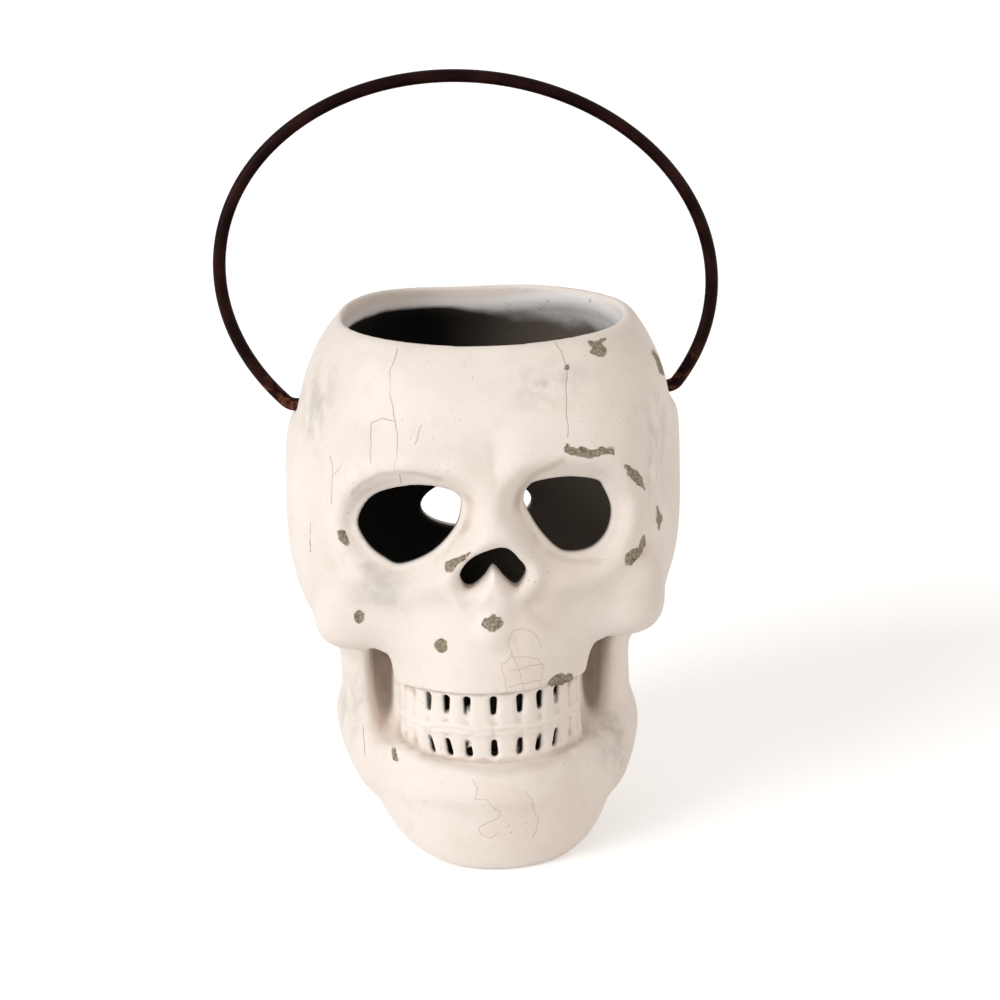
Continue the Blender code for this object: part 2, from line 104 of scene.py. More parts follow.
# Dental arch: an oval plan about its own middle
DENTAL_Y = -0.050
DENTAL_HALF_WIDTH = 0.0288
DENTAL_REACH = 0.0290
UPPER_GUM = 0.0612
BITE = 0.0490
BITE_BAND = 0.0026
LOWER_GUM = 0.0362
GUM_LIP = 0.0018
GUM_ROUNDING = 0.0024
LOWER_GUM_TALL = 0.007
LOWER_GUM_FILLET = 0.012
MAXILLA_TOP = 0.088
MAXILLA_ROUNDING = 0.018
MAXILLA_FILLET = 0.014
GROOVE_FILLET = 0.0015
TEETH_FILLET = 0.001
FRONT_TOOTH_ANGLE = 16.8
SIDE_TOOTH_ANGLE = 13.7
GROOVES_PER_SIDE = 5
SLOT_WIDTH = 0.0022
UPPER_SLOT = (0.0535, 0.0598)
LOWER_SLOT = (0.0405, 0.0462)
OPEN_SLOTS = 3
SLOT_REACH = 0.012

# Lower jaw, its branches and the chin
JAW_ANGLE_Y = -0.008
JAW_HALF_WIDTH = 0.0490
JAW_REACH = 0.0715
JAW_BACK = 0.018
JAW_POWER = 1.9
JAW_TAPER = 0.17
JAW_TAPER_HEIGHT = 0.038
JAW_TILT = 0.05
JAW_TOE_Y = -0.070
JAW_SLOPE = 0.53
JAW_ROUNDING = 0.007
JAW_FILLET = 0.004
BRANCH_HALF_WIDTH = 0.0475
BRANCH_FRONT_Y = -0.0400
BRANCH_TOP = 0.080
BRANCH_ROUNDING = 0.005
BRANCH_FILLET = 0.008
CHIN_AT = (0.0, -0.0560, 0.0160)
CHIN_SIZE = (0.0260, 0.0180, 0.0150)
CHIN_FILLET = 0.018
RECESS_AT = (0.0338, -0.0460, 0.0580)
RECESS_SIZE = (0.0037, 0.0200, 0.0190)
RECESS_SLANT = 0.04
RECESS_POWER = 2.5
RECESS_FILLET = 0.004

# Hidden neck block under the cranium, which gives the base its flat
NECK_Y = 0.004
NECK_HALF_WIDTH = 0.030
NECK_FRONT = 0.050
NECK_BACK = 0.055
NECK_TOP = 0.070
NECK_POWER = 2.2
NECK_ROUNDING = 0.004
NECK_FILLET = 0.010

# Eye holes and nose hole: middles, then outlines about them, clockwise from the viewer's left
LEFT_EYE_AT = (-0.0250, 0.1123)
LEFT_EYE_OUTLINE = (
    (-0.0154, 0.0002), (-0.0103, 0.0088), (0.0009, 0.0124), (0.0104, 0.0116),
    (0.0150, 0.0090), (0.0156, 0.0055), (0.0138, -0.0006), (0.0071, -0.0080),
    (-0.0023, -0.0123), (-0.0074, -0.0107), (-0.0125, -0.0067),
)
RIGHT_EYE_AT = (0.0232, 0.1130)
RIGHT_EYE_OUTLINE = (
    (-0.0137, 0.0065), (-0.0126, 0.0098), (-0.0097, 0.0117), (-0.0004, 0.0120),
    (0.0083, 0.0098), (0.0111, 0.0064), (0.0135, -0.0005), (0.0121, -0.0072),
    (0.0077, -0.0112), (0.0014, -0.0118), (-0.0033, -0.0099), (-0.0087, -0.0037),
    (-0.0126, 0.0031),
)
NOSE_AT = (0.0001, 0.0996)
NOSE_OUTLINE = (
    (-0.0101, -0.0022), (-0.0084, 0.0017), (-0.0052, 0.0049), (-0.0007, 0.0068),
    (0.0032, 0.0071), (0.0058, 0.0053), (0.0079, 0.0024), (0.0096, 0.0000),
    (0.0100, -0.0034), (0.0073, -0.0069), (0.0040, -0.0047), (0.0008, -0.0006),
    (-0.0005, -0.0006), (-0.0026, -0.0037), (-0.0059, -0.0063), (-0.0085, -0.0060),
)
OUTLINE_STEPS = 5
ORBIT_DIP = 0.0034
ORBIT_DIP_WIDTH = 0.0046
ORBIT_SWELL = 0.0015
ORBIT_SWELL_AT = 0.0080
ORBIT_SWELL_WIDTH = 0.0046
NOSE_SWELL = 0.0011
NOSE_SWELL_AT = 0.0032
NOSE_SWELL_WIDTH = 0.0026
HOLE_ROUNDING = 0.0016
FACE_DEPTH = 0.030
FACE_FADE = 0.010

# Vent through the back wall
VENT_HEIGHT = 0.0848
VENT_HALF_WIDTH = 0.0198
VENT_HALF_TALL = 0.0086

# Bail: a wire loop with a straight pivot and a hook at each end
WIRE_DIAMETER = 0.0042
PIVOT_HEIGHT = 0.1371
PIVOT_CLEARANCE = 0.0006
BAIL_RISE = 0.1035
BAIL_BULGE = 0.0165
BAIL_LEAN = -0.085
BEND_REACH = 0.0024
HOOK_CLEARANCE = 0.0060
HOOK_RISE = 0.0085

# Fine relief, and how finely the mesh follows it
BASE_TRIM = 0.006
RIM_TWIST = 1.2
MESH_GRID = 0.0021
SHARP_BEND = 260.0
FINE_STEP = 0.0001
NORMAL_STEP = 0.0003
BEND_STEP = 0.0012
DIP_STEP = 0.0045
SETTLE_STEPS = 3
LEAST_STEEPNESS = 0.09
UPPER_GUM_ROUNDING = 0.0011
SLOT_TIP = 0.0007
SLOT_FLARE = 0.7
VALLEY_RADIUS = 0.0019
VALLEY_OUTSET = 0.0011
VALLEY_TIP = 0.0013
SLOT_ROUNDING = 0.0007
LOWER_SLOT_SLANT = 0.10
BITE_RIDGE = 0.00050
BITE_RIDGE_WIDTH = 0.0006
LOWER_RIDGE_SHARE = 0.7
BITE_RIDGE_GAP = 0.0019
BITE_WAVE = 0.0009
BITE_WAVE_LENGTHS = (0.011, 0.004)
RIDGE_FADE = 0.006
PIVOT_HOLE_START = 0.030
HOLLOW_ROUNDING = 0.002
BASE_ROUNDING = 0.0014
TEETH_BAND_HALF = 0.0175
TEETH_FRONT_Y = -0.053
TEETH_SKIN = 0.004
HOLE_RIM = 0.0022
SKIN = 0.35
SKIN_DEPTH = 0.6
SKIN_FADE = 0.2
FACING_SPAN = 0.15
CHIP_RIM = 5.0
FINE_LOOP_STEPS = 120
FINE_BEND_STEPS = 10
WIRE_SIDES = 5

# Camera that took the photograph, and the photograph's size in pixels
PHOTO_SIZE = 1000
FOCAL_PIXELS = 2499.0
SENSOR_MM = 36.0
CAMERA_DISTANCE = 0.8246
CAMERA_ELEVATION = 14.0
CAMERA_AZIMUTH = -2.0
CAMERA_ROLL = 2.5
CAMERA_TARGET = (0.0061, 0.0, 0.1015)

# Cracks in the paint, as routes of pixels in the photograph
CRACKS = {
    "forehead_left": (
        (398, 349), (394, 360), (390, 371), (390, 393), (393, 410), (397, 432), (398, 448),
        (394, 470),
    ),
    "forehead_left_branch": ((394, 421), (383, 418), (371, 423), (370, 463)),
    "forehead_short": ((422, 425), (415, 444)),
    "forehead_right": ((555, 342), (561, 352), (567, 368), (566, 392), (567, 408), (568, 437)),
    "temple": ((330, 455), (333, 470), (332, 486), (331, 504)),
    "temple_branch": ((343, 463), (335, 474)),
    "side_left": ((310, 522), (310, 552)),
    "brow_left": ((400, 474), (401, 484)),
    "jaw_left": ((363, 725), (365, 757)),
}
FLAKE_EDGES = {
    "lip_lobe": (
        (512, 652), (508, 644), (510, 636), (514, 631), (522, 629), (531, 631), (537, 637),
        (541, 647),
    ),
    "lip_left": ((512, 652), (510, 659), (502, 664), (502, 670), (505, 678), (505, 686), (507, 692)),
    "lip_middle": ((512, 652), (516, 664), (520, 673), (522, 683), (523, 690)),
    "lip_top": ((512, 657), (526, 657), (538, 659), (544, 665), (542, 674), (540, 682), (539, 689)),
    "lip_across": ((509, 671), (518, 670), (532, 665), (542, 664)),
    "lip_low": ((507, 688), (522, 683), (540, 680)),
    "chin_left": ((473, 779), (477, 788), (475, 799), (487, 800), (492, 807), (501, 812)),
    "chin_middle": ((501, 812), (499, 818), (489, 822), (478, 828), (480, 835), (490, 838), (500, 833)),
    "chin_right": ((524, 791), (532, 799), (535, 813), (539, 819), (538, 827), (533, 838)),
}

# Soft brown lines of painted shade, with grime at the lower gum: half width in pixels, strength, and
# route
PAINTED_SHADE_LINES = {
    "brow_left": (2.4, 0.30, ((353, 492), (362, 482), (378, 475), (400, 472), (425, 474), (441, 480))),
    "brow_right": (3.5, 0.32, ((519, 503), (521, 490), (529, 478), (546, 469), (563, 460))),
    "nose_right": (6.0, 0.13, ((531, 588), (524, 600), (532, 616), (546, 626))),
    "nose_left": (5.0, 0.13, ((459, 598), (466, 606), (474, 600))),
    # Painted shade with grime along the foot of the lower gum
    "lower_gum": (6.0, 0.26, ((424, 756), (452, 765), (480, 770), (512, 770), (540, 765), (566, 755))),
    # Broad painted shade over the right cheek, the side turned away from the key light
    "cheek_right": (32.0, 0.19, ((540, 604), (585, 602), (625, 588))),
    "eye_right": (4.0, 0.20, ((548, 553), (572, 562), (598, 562))),
}

# Outlines of chips and of flaked paint, in pixels of the photograph
CHIPS = {
    "rim": (
        (585, 338), (592, 342), (606, 338), (602, 344), (608, 350), (604, 356), (597, 356),
        (589, 353), (593, 348),
    ),
    "brow": (
        (562, 452), (567, 443), (571, 448), (581, 447), (590, 450), (599, 449), (602, 446),
        (608, 448), (613, 446), (614, 454), (604, 454), (591, 458), (578, 456), (570, 454),
    ),
    "brow_outer": (
        (624, 464), (630, 467), (638, 472), (643, 480), (645, 490), (639, 485), (630, 477),
        (625, 469),
    ),
    "orbit_right": (
        (644, 533), (646, 542), (642, 552), (635, 560), (631, 566), (626, 565), (626, 555),
        (632, 549), (638, 548),
    ),
    "side_right": ((658, 506), (660, 513), (663, 518), (660, 524), (659, 530), (657, 523), (656, 517)),
    "orbit_left": (
        (337, 533), (341, 529), (346, 531), (347, 537), (350, 543), (347, 547), (342, 543),
        (338, 539),
    ),
    "cheek_left": ((354, 614), (359, 610), (365, 613), (364, 620), (359, 623), (355, 620)),
    "nose_left": ((444, 562), (457, 557), (470, 553), (466, 559), (457, 565), (453, 571), (446, 572)),
    "lip_middle": (
        (481, 624), (485, 619), (494, 615), (501, 619), (503, 625), (500, 629), (495, 632),
        (488, 630), (484, 627),
    ),
    "lip_left": (
        (433, 645), (436, 641), (441, 638), (446, 641), (448, 647), (446, 651), (441, 653),
        (437, 650),
    ),
    "lip_right": (
        (547, 685), (550, 679), (555, 675), (561, 673), (566, 675), (571, 674), (573, 678),
        (570, 681), (561, 685), (552, 686),
    ),
    "jaw_left": ((391, 751), (393, 746), (396, 749), (397, 756), (399, 762), (396, 763), (393, 758)),
    "crack_nick": ((565, 366), (568, 365), (569, 369), (566, 370)),
    "pivot_right": (
        (652, 348), (657, 354), (662, 362), (666, 371), (664, 376), (660, 373), (657, 364),
        (653, 355),
    ),
}
FLAKES = {
    "lip": (
        (512, 652), (509, 644), (511, 635), (515, 632), (517, 644), (526, 657), (538, 659),
        (544, 665), (542, 674), (539, 689), (523, 689), (507, 690), (505, 678), (502, 670),
        (503, 664),
    ),
    "chin": (
        (474, 780), (500, 783), (524, 791), (534, 800), (538, 820), (534, 838), (510, 842),
        (490, 837), (480, 833), (482, 824), (498, 817), (488, 800), (476, 799),
    ),
}

# Stains, one of them painted shade: middle and half sizes in pixels of the photograph, and turn in
# degrees
STAINS_AND_SHADE = {
    "cheek_left": ((382, 590), (46, 26), 12),
    "temple_left": ((318, 405), (20, 52), 8),
    "forehead_right": ((548, 385), (44, 26), -20),
    "rim_middle": ((520, 300), (50, 10), -6),
    "jaw_left": ((352, 700), (16, 50), 8),
    "jaw_right": ((612, 735), (22, 46), -14),
    # Painted shade in the hollow below the left eye
    "orbit_left": ((362, 566), (26, 14), 30),
    "side_right": ((655, 450), (14, 70), 0),
}

# Paint, grime, painted shade and light, bare casting and wire: linear colours, and how strongly each coat
# covers
PAINT_COLOURS = ((0.885, 0.815, 0.755), (0.85, 0.765, 0.70))
BARE_COLOURS = ((0.17, 0.135, 0.095), (0.45, 0.385, 0.285))
# Soot and painted shade inside: near black at the left, smoky brown to the right
SOOT_AND_SHADE_COLOURS = ((0.004, 0.003, 0.002), (0.18, 0.15, 0.12))
WIRE_COLOURS = ((0.008, 0.0016, 0.0014), (0.022, 0.006, 0.005))
RUST_COLOURS = ((0.040, 0.011, 0.007), (0.16, 0.055, 0.032))
# Colour of the painted shade lines
PAINTED_SHADE_COLOUR = (0.36, 0.26, 0.19)
COATS = {
    "cloud": (0.34, (0.78, 0.70, 0.635)),
    "mottle": (0.24, (0.74, 0.645, 0.575)),
    # Grey-green stains, and the painted shade below the left eye
    "stain_and_shade": (0.62, (0.50, 0.475, 0.43)),
    # Painted shade in broad hollows, then in sharp crevices
    "hollow_shade": (0.45, (0.60, 0.48, 0.39)),
    "crevice_shade": (0.50, (0.40, 0.29, 0.22)),
    # Painted shade in the cheek recesses, with a greenish-brown tint
    "recess_shade": (0.10, (0.40, 0.345, 0.28)),
    # Painted shade: near black down the tooth slots and over the thin webs that close some of them
    "slot": (1.0, (0.012, 0.009, 0.008)),
    # Paler paint on sharp outward edges
    "pale_edge": (0.30, (0.93, 0.88, 0.83)),
    "flake": (0.28, (0.82, 0.68, 0.57)),
    "flake_edge": (0.42, (0.36, 0.25, 0.19)),
    "crack": (0.60, (0.17, 0.11, 0.08)),
    "speck": (0.75, (0.26, 0.21, 0.17)),
    # Painted shade along the step at each chip's outline
    "chip_edge_shade": (0.45, (0.60, 0.50, 0.42)),
    # Painted light: the inner walls are paler than the outer paint, so that they read as lit
    "inner": (0.85, (0.97, 0.945, 0.925)),
    "scuff": (0.55, (0.42, 0.38, 0.35)),
}

# Where a coat's share goes from 0 to 1, in the unit of the noise, attribute or distance that it follows
EDGES = {
    "broad": (0.35, 0.65),
    "cloud": (0.52, 0.72),
    "mottle": (0.50, 0.70),
    "mottle_area": (0.35, 0.60),
    "stain_and_shade": (0.34, 0.66),
    "stain_oval": (1.25, 0.1),
    "hollow_shade": (-8.0, -150.0),
    "hollow_shade_cloud": (0.10, 0.65),
    "crevice_shade": (-80.0, -560.0),
    "crevice_shade_cloud": (0.25, 0.70),
    "recess_shade": (0.0035, -0.0008),
    "slot": (0.0009, 0.0002),
    "slot_depth_shade": (0.0004, 0.0018),
    "slot_web_shade": (-0.0001, -0.0004),
    "pale_edge": (300.0, 900.0),
    "flake": (0.5, -0.5),
    "flake_edge": (0.66, 0.18),
    "crack": (0.648, 0.18),
    "crack_area": (0.30, 0.52),
    "speck": (0.735, 0.765),
    "speck_area": (0.46, 0.62),
    "chip": (0.35, -0.35),
    "chip_edge_shade": (1.6, 0.2),
    "facing": (0.45, 0.55),
    "bare": (0.34, 0.66),
    "to_right": (-0.010, 0.030),
    "inner": (0.45, 0.75),
    "soot": (0.0, 1.0),
    "soot_shade_across": (-0.014, 0.030),
    "scuff": (0.60, 0.70),
    "hidden": (0.3, 0.0),
    "outer": (0.5, 0.2),
    "back_chip": (0.905, 0.915),
    "back_crack": (0.006, 0.002),
    "back_crack_area": (0.56, 0.62),
    "wire_patches": (0.42, 0.66),
    "rust_grain": (0.40, 0.65),
    "rust": (0.47, 0.60),
}

# Noises: scale per metre, detail and roughness
NOISES = {
    "broad": (38.0, 3.0, 0.5),
    "cloudy": (110.0, 4.0, 0.6),
    "mottled": (330.0, 4.0, 0.75),
    "fine": (700.0, 3.0, 0.6),
    "grit": (1100.0, 3.0, 0.75),
    "patches": (60.0, 2.0, 0.5),
    "specks": (1300.0, 1.0, 0.5),
    "flaky": (420.0, 2.0, 0.5),
    "ragged": (380.0, 3.0, 0.7),
    "soot_shade_edge": (75.0, 2.0, 0.5),
    "drift": (30.0, 3.0, 0.5),
    "scuffs": (210.0, 3.0, 0.7),
    "back_places": (34.0, 1.0, 0.5),
    "back_shapes": (150.0, 3.0, 0.6),
    "back_cracks": (26.0, 1.0, 0.5),
    "wire_grain": (900.0, 3.0, 0.65),
    "wire_patches": (70.0, 3.0, 0.6),
    "rust": (240.0, 3.0, 0.5),
}

# How lines waver: the noise's scale per metre, and its size in pixels of the photograph
WOBBLES = {
    "shade_line": (120.0, 6.0),
    "flake_edge": (260.0, 4.0),
    "crack": (300.0, 3.4),
}
SHADE_LINE_SPREAD = 1.6
FLAKE_RAGGED = 3.0
CHIP_RAGGED = 7.0

# Wear on the back: the noise that bends its cracks as scale and size, and the cracks' cells per metre
BACK_SHAPE_SHARE = 0.35
BACK_JITTER = (90.0, 0.006)
BACK_CELLS = 30.0

# Soot and painted shade below the rim: where it starts, its edge's width at the left and its growth to
# the right
SOOT_SHADE_START = 0.0088
SOOT_SHADE_EDGE = 0.0018
SOOT_SHADE_EDGE_GROWTH = 0.0060
SOOT_SHADE_DRIFT = 0.03

# Gloss, and bumps as height in metres and strength
PAINT_SPECULAR = 0.25
PAINT_ROUGHNESS = 0.52
PAINT_ROUGHNESS_GRAIN = 0.16
BARE_ROUGHNESS = 0.25
BROKEN_DEPTH = 1.5
WIRE_SPECULAR = 0.12
WIRE_IOR = 1.3
WIRE_ROUGHNESS = 0.30
WIRE_ROUGHNESS_GRAIN = 0.22
RUST_ROUGHNESS = 0.3
RUST_TOP = 0.016
RUST_FULL = 0.002
BUMPS = {
    "lumps": (0.0010, 0.30),
    "fine": (0.00020, 0.6),
    "broken": (0.0005, 1.0),
    "wire": (0.00020, 0.4),
}

# Light: for each sun the direction that it comes from, its strength, its width in degrees and its colour
WORLD_LIGHT = 0.47
WORLD_TINT = (1.0, 0.955, 0.91)
SUNS = {
    "key": ((-0.76, -0.57, 0.44), 1.90, 34, (0.98, 0.99, 1.0)),
    "fill": ((0.88, -0.38, 0.28), 0.62, 60, (1.0, 0.88, 0.79)),
}
FLOOR_SHADE = 0.9
FLOOR_ROUGHNESS = 0.9
FLOOR_GLOW = 0.40
FLOOR_REACH = 6.0


def blend(first, second, radius):
    """Union of two forms with a smooth fillet."""
    overlap = np.maximum(radius - np.abs(first - second), 0) / radius
    return np.minimum(first, second) - overlap * overlap * radius / 4


def common(first, second, radius):
    """What two forms share, with its edge rounded."""
    return -blend(-first, -second, radius)


def carve(form, hole, radius):
    """The form with the hole taken out and the edge rounded."""
    return common(form, -hole, radius)


def oval(parts, sizes, power):
    """Distance to an oval of two or three half sizes; a power over 2 makes it boxier."""
    shares = [np.abs(part) / size for part, size in zip(parts, sizes)]
    reach = sum(share**power for share in shares) ** (1 / power)
    reach = np.maximum(reach, TINY)
    steepness = sum((share ** (power - 1) / size) ** 2 for share, size in zip(shares, sizes))
    return (reach - 1) * reach ** (power - 1) / np.sqrt(np.maximum(steepness, TINY))


def blob(at, centre, sizes, power=2.0):
    return oval([part - middle for part, middle in zip(at, centre)], sizes, power)


def column(at, middle_y, half_width, front, back, power):
    """Distance to an upright column with an oval plan that reaches further to one end."""
    x, y, _ = at
    depth = np.where(y < middle_y, front, back)
    return oval([x, y - middle_y], [half_width, depth], power)


def bar(at, start, end, start_radius, end_radius):
    """Distance to a round bar that tapers from one radius to another."""
    along = [b - a for a, b in zip(start, end)]
    span = sum(part * part for part in along)
    share = sum((part - a) * b for part, a, b in zip(at, start, along)) / span
    share = np.clip(share, 0, 1)
    gap = sum((part - a - b * share) ** 2 for part, a, b in zip(at, start, along))
    return np.sqrt(gap) - (start_radius + (end_radius - start_radius) * share)


def smooth_outline(centre, points):
    """Points of a smooth closed curve through an outline's own points."""
    loop = np.array(points) + centre
    before, after, later = (np.roll(loop, shift, axis=0) for shift in (1, -1, -2))
    curve = []
    for step in np.arange(OUTLINE_STEPS) / OUTLINE_STEPS:
        curve.append(
            loop
            + step * (after - before) / 2
            + step**2 * (before - 2.5 * loop + 2 * after - 0.5 * later)
            + step**3 * (1.5 * (loop - after) + 0.5 * (later - before))
        )
    return np.stack(curve, axis=1).reshape(-1, 2)


def outline_distance(x, z, curve):
    """Distance in the XZ plane to a closed curve, negative inside it."""
    nearest = np.full(np.broadcast(x, z).shape, np.inf)
    inside = np.zeros(nearest.shape, bool)
    for (x0, z0), (x1, z1) in zip(curve, np.roll(curve, -1, axis=0)):
        run, rise = x1 - x0, z1 - z0
        share = np.clip(((x - x0) * run + (z - z0) * rise) / (run * run + rise * rise), 0, 1)
        nearest = np.minimum(nearest, np.hypot(x - x0 - run * share, z - z0 - rise * share))
        if rise:
            inside ^= ((z0 > z) != (z1 > z)) & (x < x0 + run * (z - z0) / rise)
    return np.where(inside, -nearest, nearest)


def bump(distance, middle, width):
    return np.exp(-(((distance - middle) / width) ** 2))


def midline(z):
    """X of the face's midline: above the teeth the casting leans a little as it rises."""
    return LEAN * (np.maximum(z, LEAN_FOOT) - LEAN_LEVEL)


def cranium(at):
    x, y, z = at
    half_tall = RIM_HEIGHT + CROWN_CUT - CRANIUM_HEIGHT
    half_sizes = (CRANIUM_HALF_WIDTH, CRANIUM_HALF_LENGTH, half_tall)
    form = blob(at, (0, 0, CRANIUM_HEIGHT), half_sizes, CRANIUM_POWER)
    sideways = np.clip(2 * np.abs(x) / CRANIUM_HALF_WIDTH - 1, 0, 1)
    step = 1 / (1 + np.exp(-4 * (z - LEDGE_HEIGHT) / LEDGE_STEP))
    fade = np.clip((RIM_HEIGHT - z) / (RIM_HEIGHT - LEDGE_HEIGHT), 0, 1) ** 0.5
    form = form + LEDGE_DEPTH * sideways * step * fade
    return carve(form, blob((np.abs(x), y, z), TEMPLE_AT, TEMPLE_SIZE), TEMPLE_FILLET)


def neck(at):
    z = at[2]
    plan = column(at, NECK_Y, NECK_HALF_WIDTH, NECK_FRONT, NECK_BACK, NECK_POWER)
    height = np.maximum(z - NECK_TOP, -BASE_TRIM - z)
    return common(plan, height, NECK_ROUNDING)


def cheekbones(at):
    x, y, z = at
    side = (np.abs(x), y, z)
    body = blob(side, CHEEK_AT, CHEEK_SIZE, CHEEK_POWER)
    arch = bar(side, ARCH_BONE_FRONT, ARCH_BONE_BACK, ARCH_BONE_RADIUS, ARCH_BONE_RADIUS)
    return blend(body, arch, ARCH_BONE_FILLET)


def dental_plan(at, lip=0.0):
    """The plan of the dental arch, or of a gum that stands a lip's width proud of it."""
    return column(at, DENTAL_Y, DENTAL_HALF_WIDTH + lip, DENTAL_REACH + lip, -DENTAL_Y, 2.0)


def upper_jaw(at):
    z = at[2]
    form = common(dental_plan(at, GUM_LIP), z - MAXILLA_TOP, MAXILLA_ROUNDING)
    return common(form, UPPER_GUM - z, UPPER_GUM_ROUNDING)


def jaw_plan(at, half_width):
    """The lower jaw's plan, which tapers in towards the base."""
    x, y, z = at
    drop = np.clip((JAW_TAPER_HEIGHT - z) / JAW_TAPER_HEIGHT, 0, 1)
    taper = 1 - JAW_TAPER * drop**2
    spread = (x / taper, JAW_ANGLE_Y + (y - JAW_ANGLE_Y) / taper, z)
    return column(spread, JAW_ANGLE_Y, half_width, JAW_REACH, JAW_BACK, JAW_POWER)


def lower_jaw(at):
    x, y, z = at
    z = z + JAW_TILT * x
    at = (x, y, z)
    border = ((y - JAW_TOE_Y) * JAW_SLOPE - z) / math.hypot(1, JAW_SLOPE)
    body = common(jaw_plan(at, JAW_HALF_WIDTH), border, JAW_ROUNDING)
    body = common(body, z - LOWER_GUM, JAW_ROUNDING)
    branch = common(jaw_plan(at, BRANCH_HALF_WIDTH), BRANCH_FRONT_Y - y, BRANCH_ROUNDING)
    branch = common(branch, np.maximum(border, z - BRANCH_TOP), JAW_ROUNDING)
    jaw = blend(body, branch, BRANCH_FILLET)
    gum = np.maximum(z - LOWER_GUM, LOWER_GUM - LOWER_GUM_TALL - z)
    gum = common(dental_plan(at, GUM_LIP), gum, GUM_ROUNDING)
    jaw = blend(jaw, gum, LOWER_GUM_FILLET)
    return blend(jaw, blob(at, CHIN_AT, CHIN_SIZE), CHIN_FILLET)


def cheek_recess(at):
    """The blind slot at each side, between the teeth and the jaw's branch."""
    x, y, z = at
    across = np.abs(x) - RECESS_SLANT * (z - RECESS_AT[2])
    return blob((across, y, z), RECESS_AT, RECESS_SIZE, RECESS_POWER)


def teeth_band(at):
    """The band of both rows of teeth, between the gums."""
    z = at[2]
    return np.maximum(dental_plan(at), np.maximum(z - UPPER_GUM - WALL, LOWER_GUM - WALL - z))


def plain_form(at):
    """The skull without its fine relief, which the hollow follows a wall's thickness inside."""
    form = blend(cranium(at), cheekbones(at), CHEEK_FILLET)
    form = blend(form, neck(at), NECK_FILLET)
    form = blend(form, upper_jaw(at), MAXILLA_FILLET)
    form = blend(form, lower_jaw(at), JAW_FILLET)
    form = blend(form, teeth_band(at), TEETH_FILLET)
    return carve(form, cheek_recess(at), RECESS_FILLET)


def arch_point(angle, inset=0.0):
    """A place on the dental arch, and the outward direction there; 0 degrees is the front."""
    turn = math.radians(angle)
    wide, deep = DENTAL_HALF_WIDTH, DENTAL_REACH
    outward = np.array((math.sin(turn) / wide, -math.cos(turn) / deep))
    outward /= np.linalg.norm(outward)
    place = np.array((wide * math.sin(turn), DENTAL_Y - deep * math.cos(turn)))
    return place - inset * outward, outward


def gap_angle(number):
    """Angle of the gap between two teeth, counted from the middle one, which is 0."""
    if number == 0:
        return 0.0
    return math.copysign(FRONT_TOOTH_ANGLE + (abs(number) - 1) * SIDE_TOOTH_ANGLE, number)


def relief_height(at, outlines):
    """How far the face stands out, or in, around its holes."""
    y = at[1]
    height = 0
    for name in ("left_eye", "right_eye"):
        distance = outlines[name]
        height = height + ORBIT_SWELL * bump(distance, ORBIT_SWELL_AT, ORBIT_SWELL_WIDTH)
        height = height - ORBIT_DIP * bump(np.maximum(distance, 0), 0, ORBIT_DIP_WIDTH)
    height = height + NOSE_SWELL * bump(outlines["nose"], NOSE_SWELL_AT, NOSE_SWELL_WIDTH)
    return height * np.clip((-FACE_DEPTH - y) / FACE_FADE, 0, 1)


def fine_form(at, outlines):
    """The outer skull with its brow, nose, teeth and socket rims."""
    x, y, z = at
    side = (np.abs(x), y, z)
    form = plain_form(at)
    form = blend(form, bar(side, BROW_IN, BROW_OUT, BROW_RADIUS, BROW_RADIUS), BROW_FILLET)
    form = blend(form, bar(at, BRIDGE_TOP, BRIDGE_END, *BRIDGE_RADII), BRIDGE_FILLET)
    form = blend(form, bar(at, SPINE_TOP, SPINE_END, *SPINE_RADII), SPINE_FILLET)
    form = form - relief_height(at, outlines)
    return carve(form, tooth_valleys(at), GROOVE_FILLET)


def hollow(at):
    """The space inside: the plain form a wall's thickness in, above the floor."""
    return common(plain_form(at) + WALL, FLOOR_HEIGHT - at[2], FLOOR_FILLET)


def top_opening(at):
    x, y, z = at
    plan = oval([x, y], (MOUTH_HALF_WIDTH, MOUTH_HALF_LENGTH), MOUTH_POWER)
    return np.maximum(plan, CRANIUM_HEIGHT - z)


def above_rim(at):
    x, y, z = at
    return RIM_HEIGHT - RIM_FALL * x + RIM_RISE * y - RIM_TWIST * x * np.maximum(y, 0) - z


def back_vent(at):
    x, y, z = at
    plan = oval([x, z - VENT_HEIGHT], (VENT_HALF_WIDTH, VENT_HALF_TALL), 2.0)
    return np.maximum(plan, -y)


def hole_outlines(x, z):
    """Distances in the face's plane to the edges of the eye holes and the nose hole."""
    shapes = {
        "left_eye": (LEFT_EYE_AT, LEFT_EYE_OUTLINE),
        "right_eye": (RIGHT_EYE_AT, RIGHT_EYE_OUTLINE),
        "nose": (NOSE_AT, NOSE_OUTLINE),
    }
    return {
        name: outline_distance(x, z, smooth_outline(centre, points))
        for name, (centre, points) in shapes.items()
    }


def corner(start, bend, end, steps=FINE_BEND_STEPS):
    """Points of a smooth turn from start to end, past the bend."""
    points = []
    for step in range(steps + 1):
        share = step / steps
        points.append(
            tuple(
                a * (1 - share) ** 2 + 2 * b * share * (1 - share) + c * share**2
                for a, b, c in zip(start, bend, end)
            )
        )
    return points


def loop_point(turn, half_width, rise, middle):
    return half_width * math.sin(turn), middle + rise * math.cos(turn)


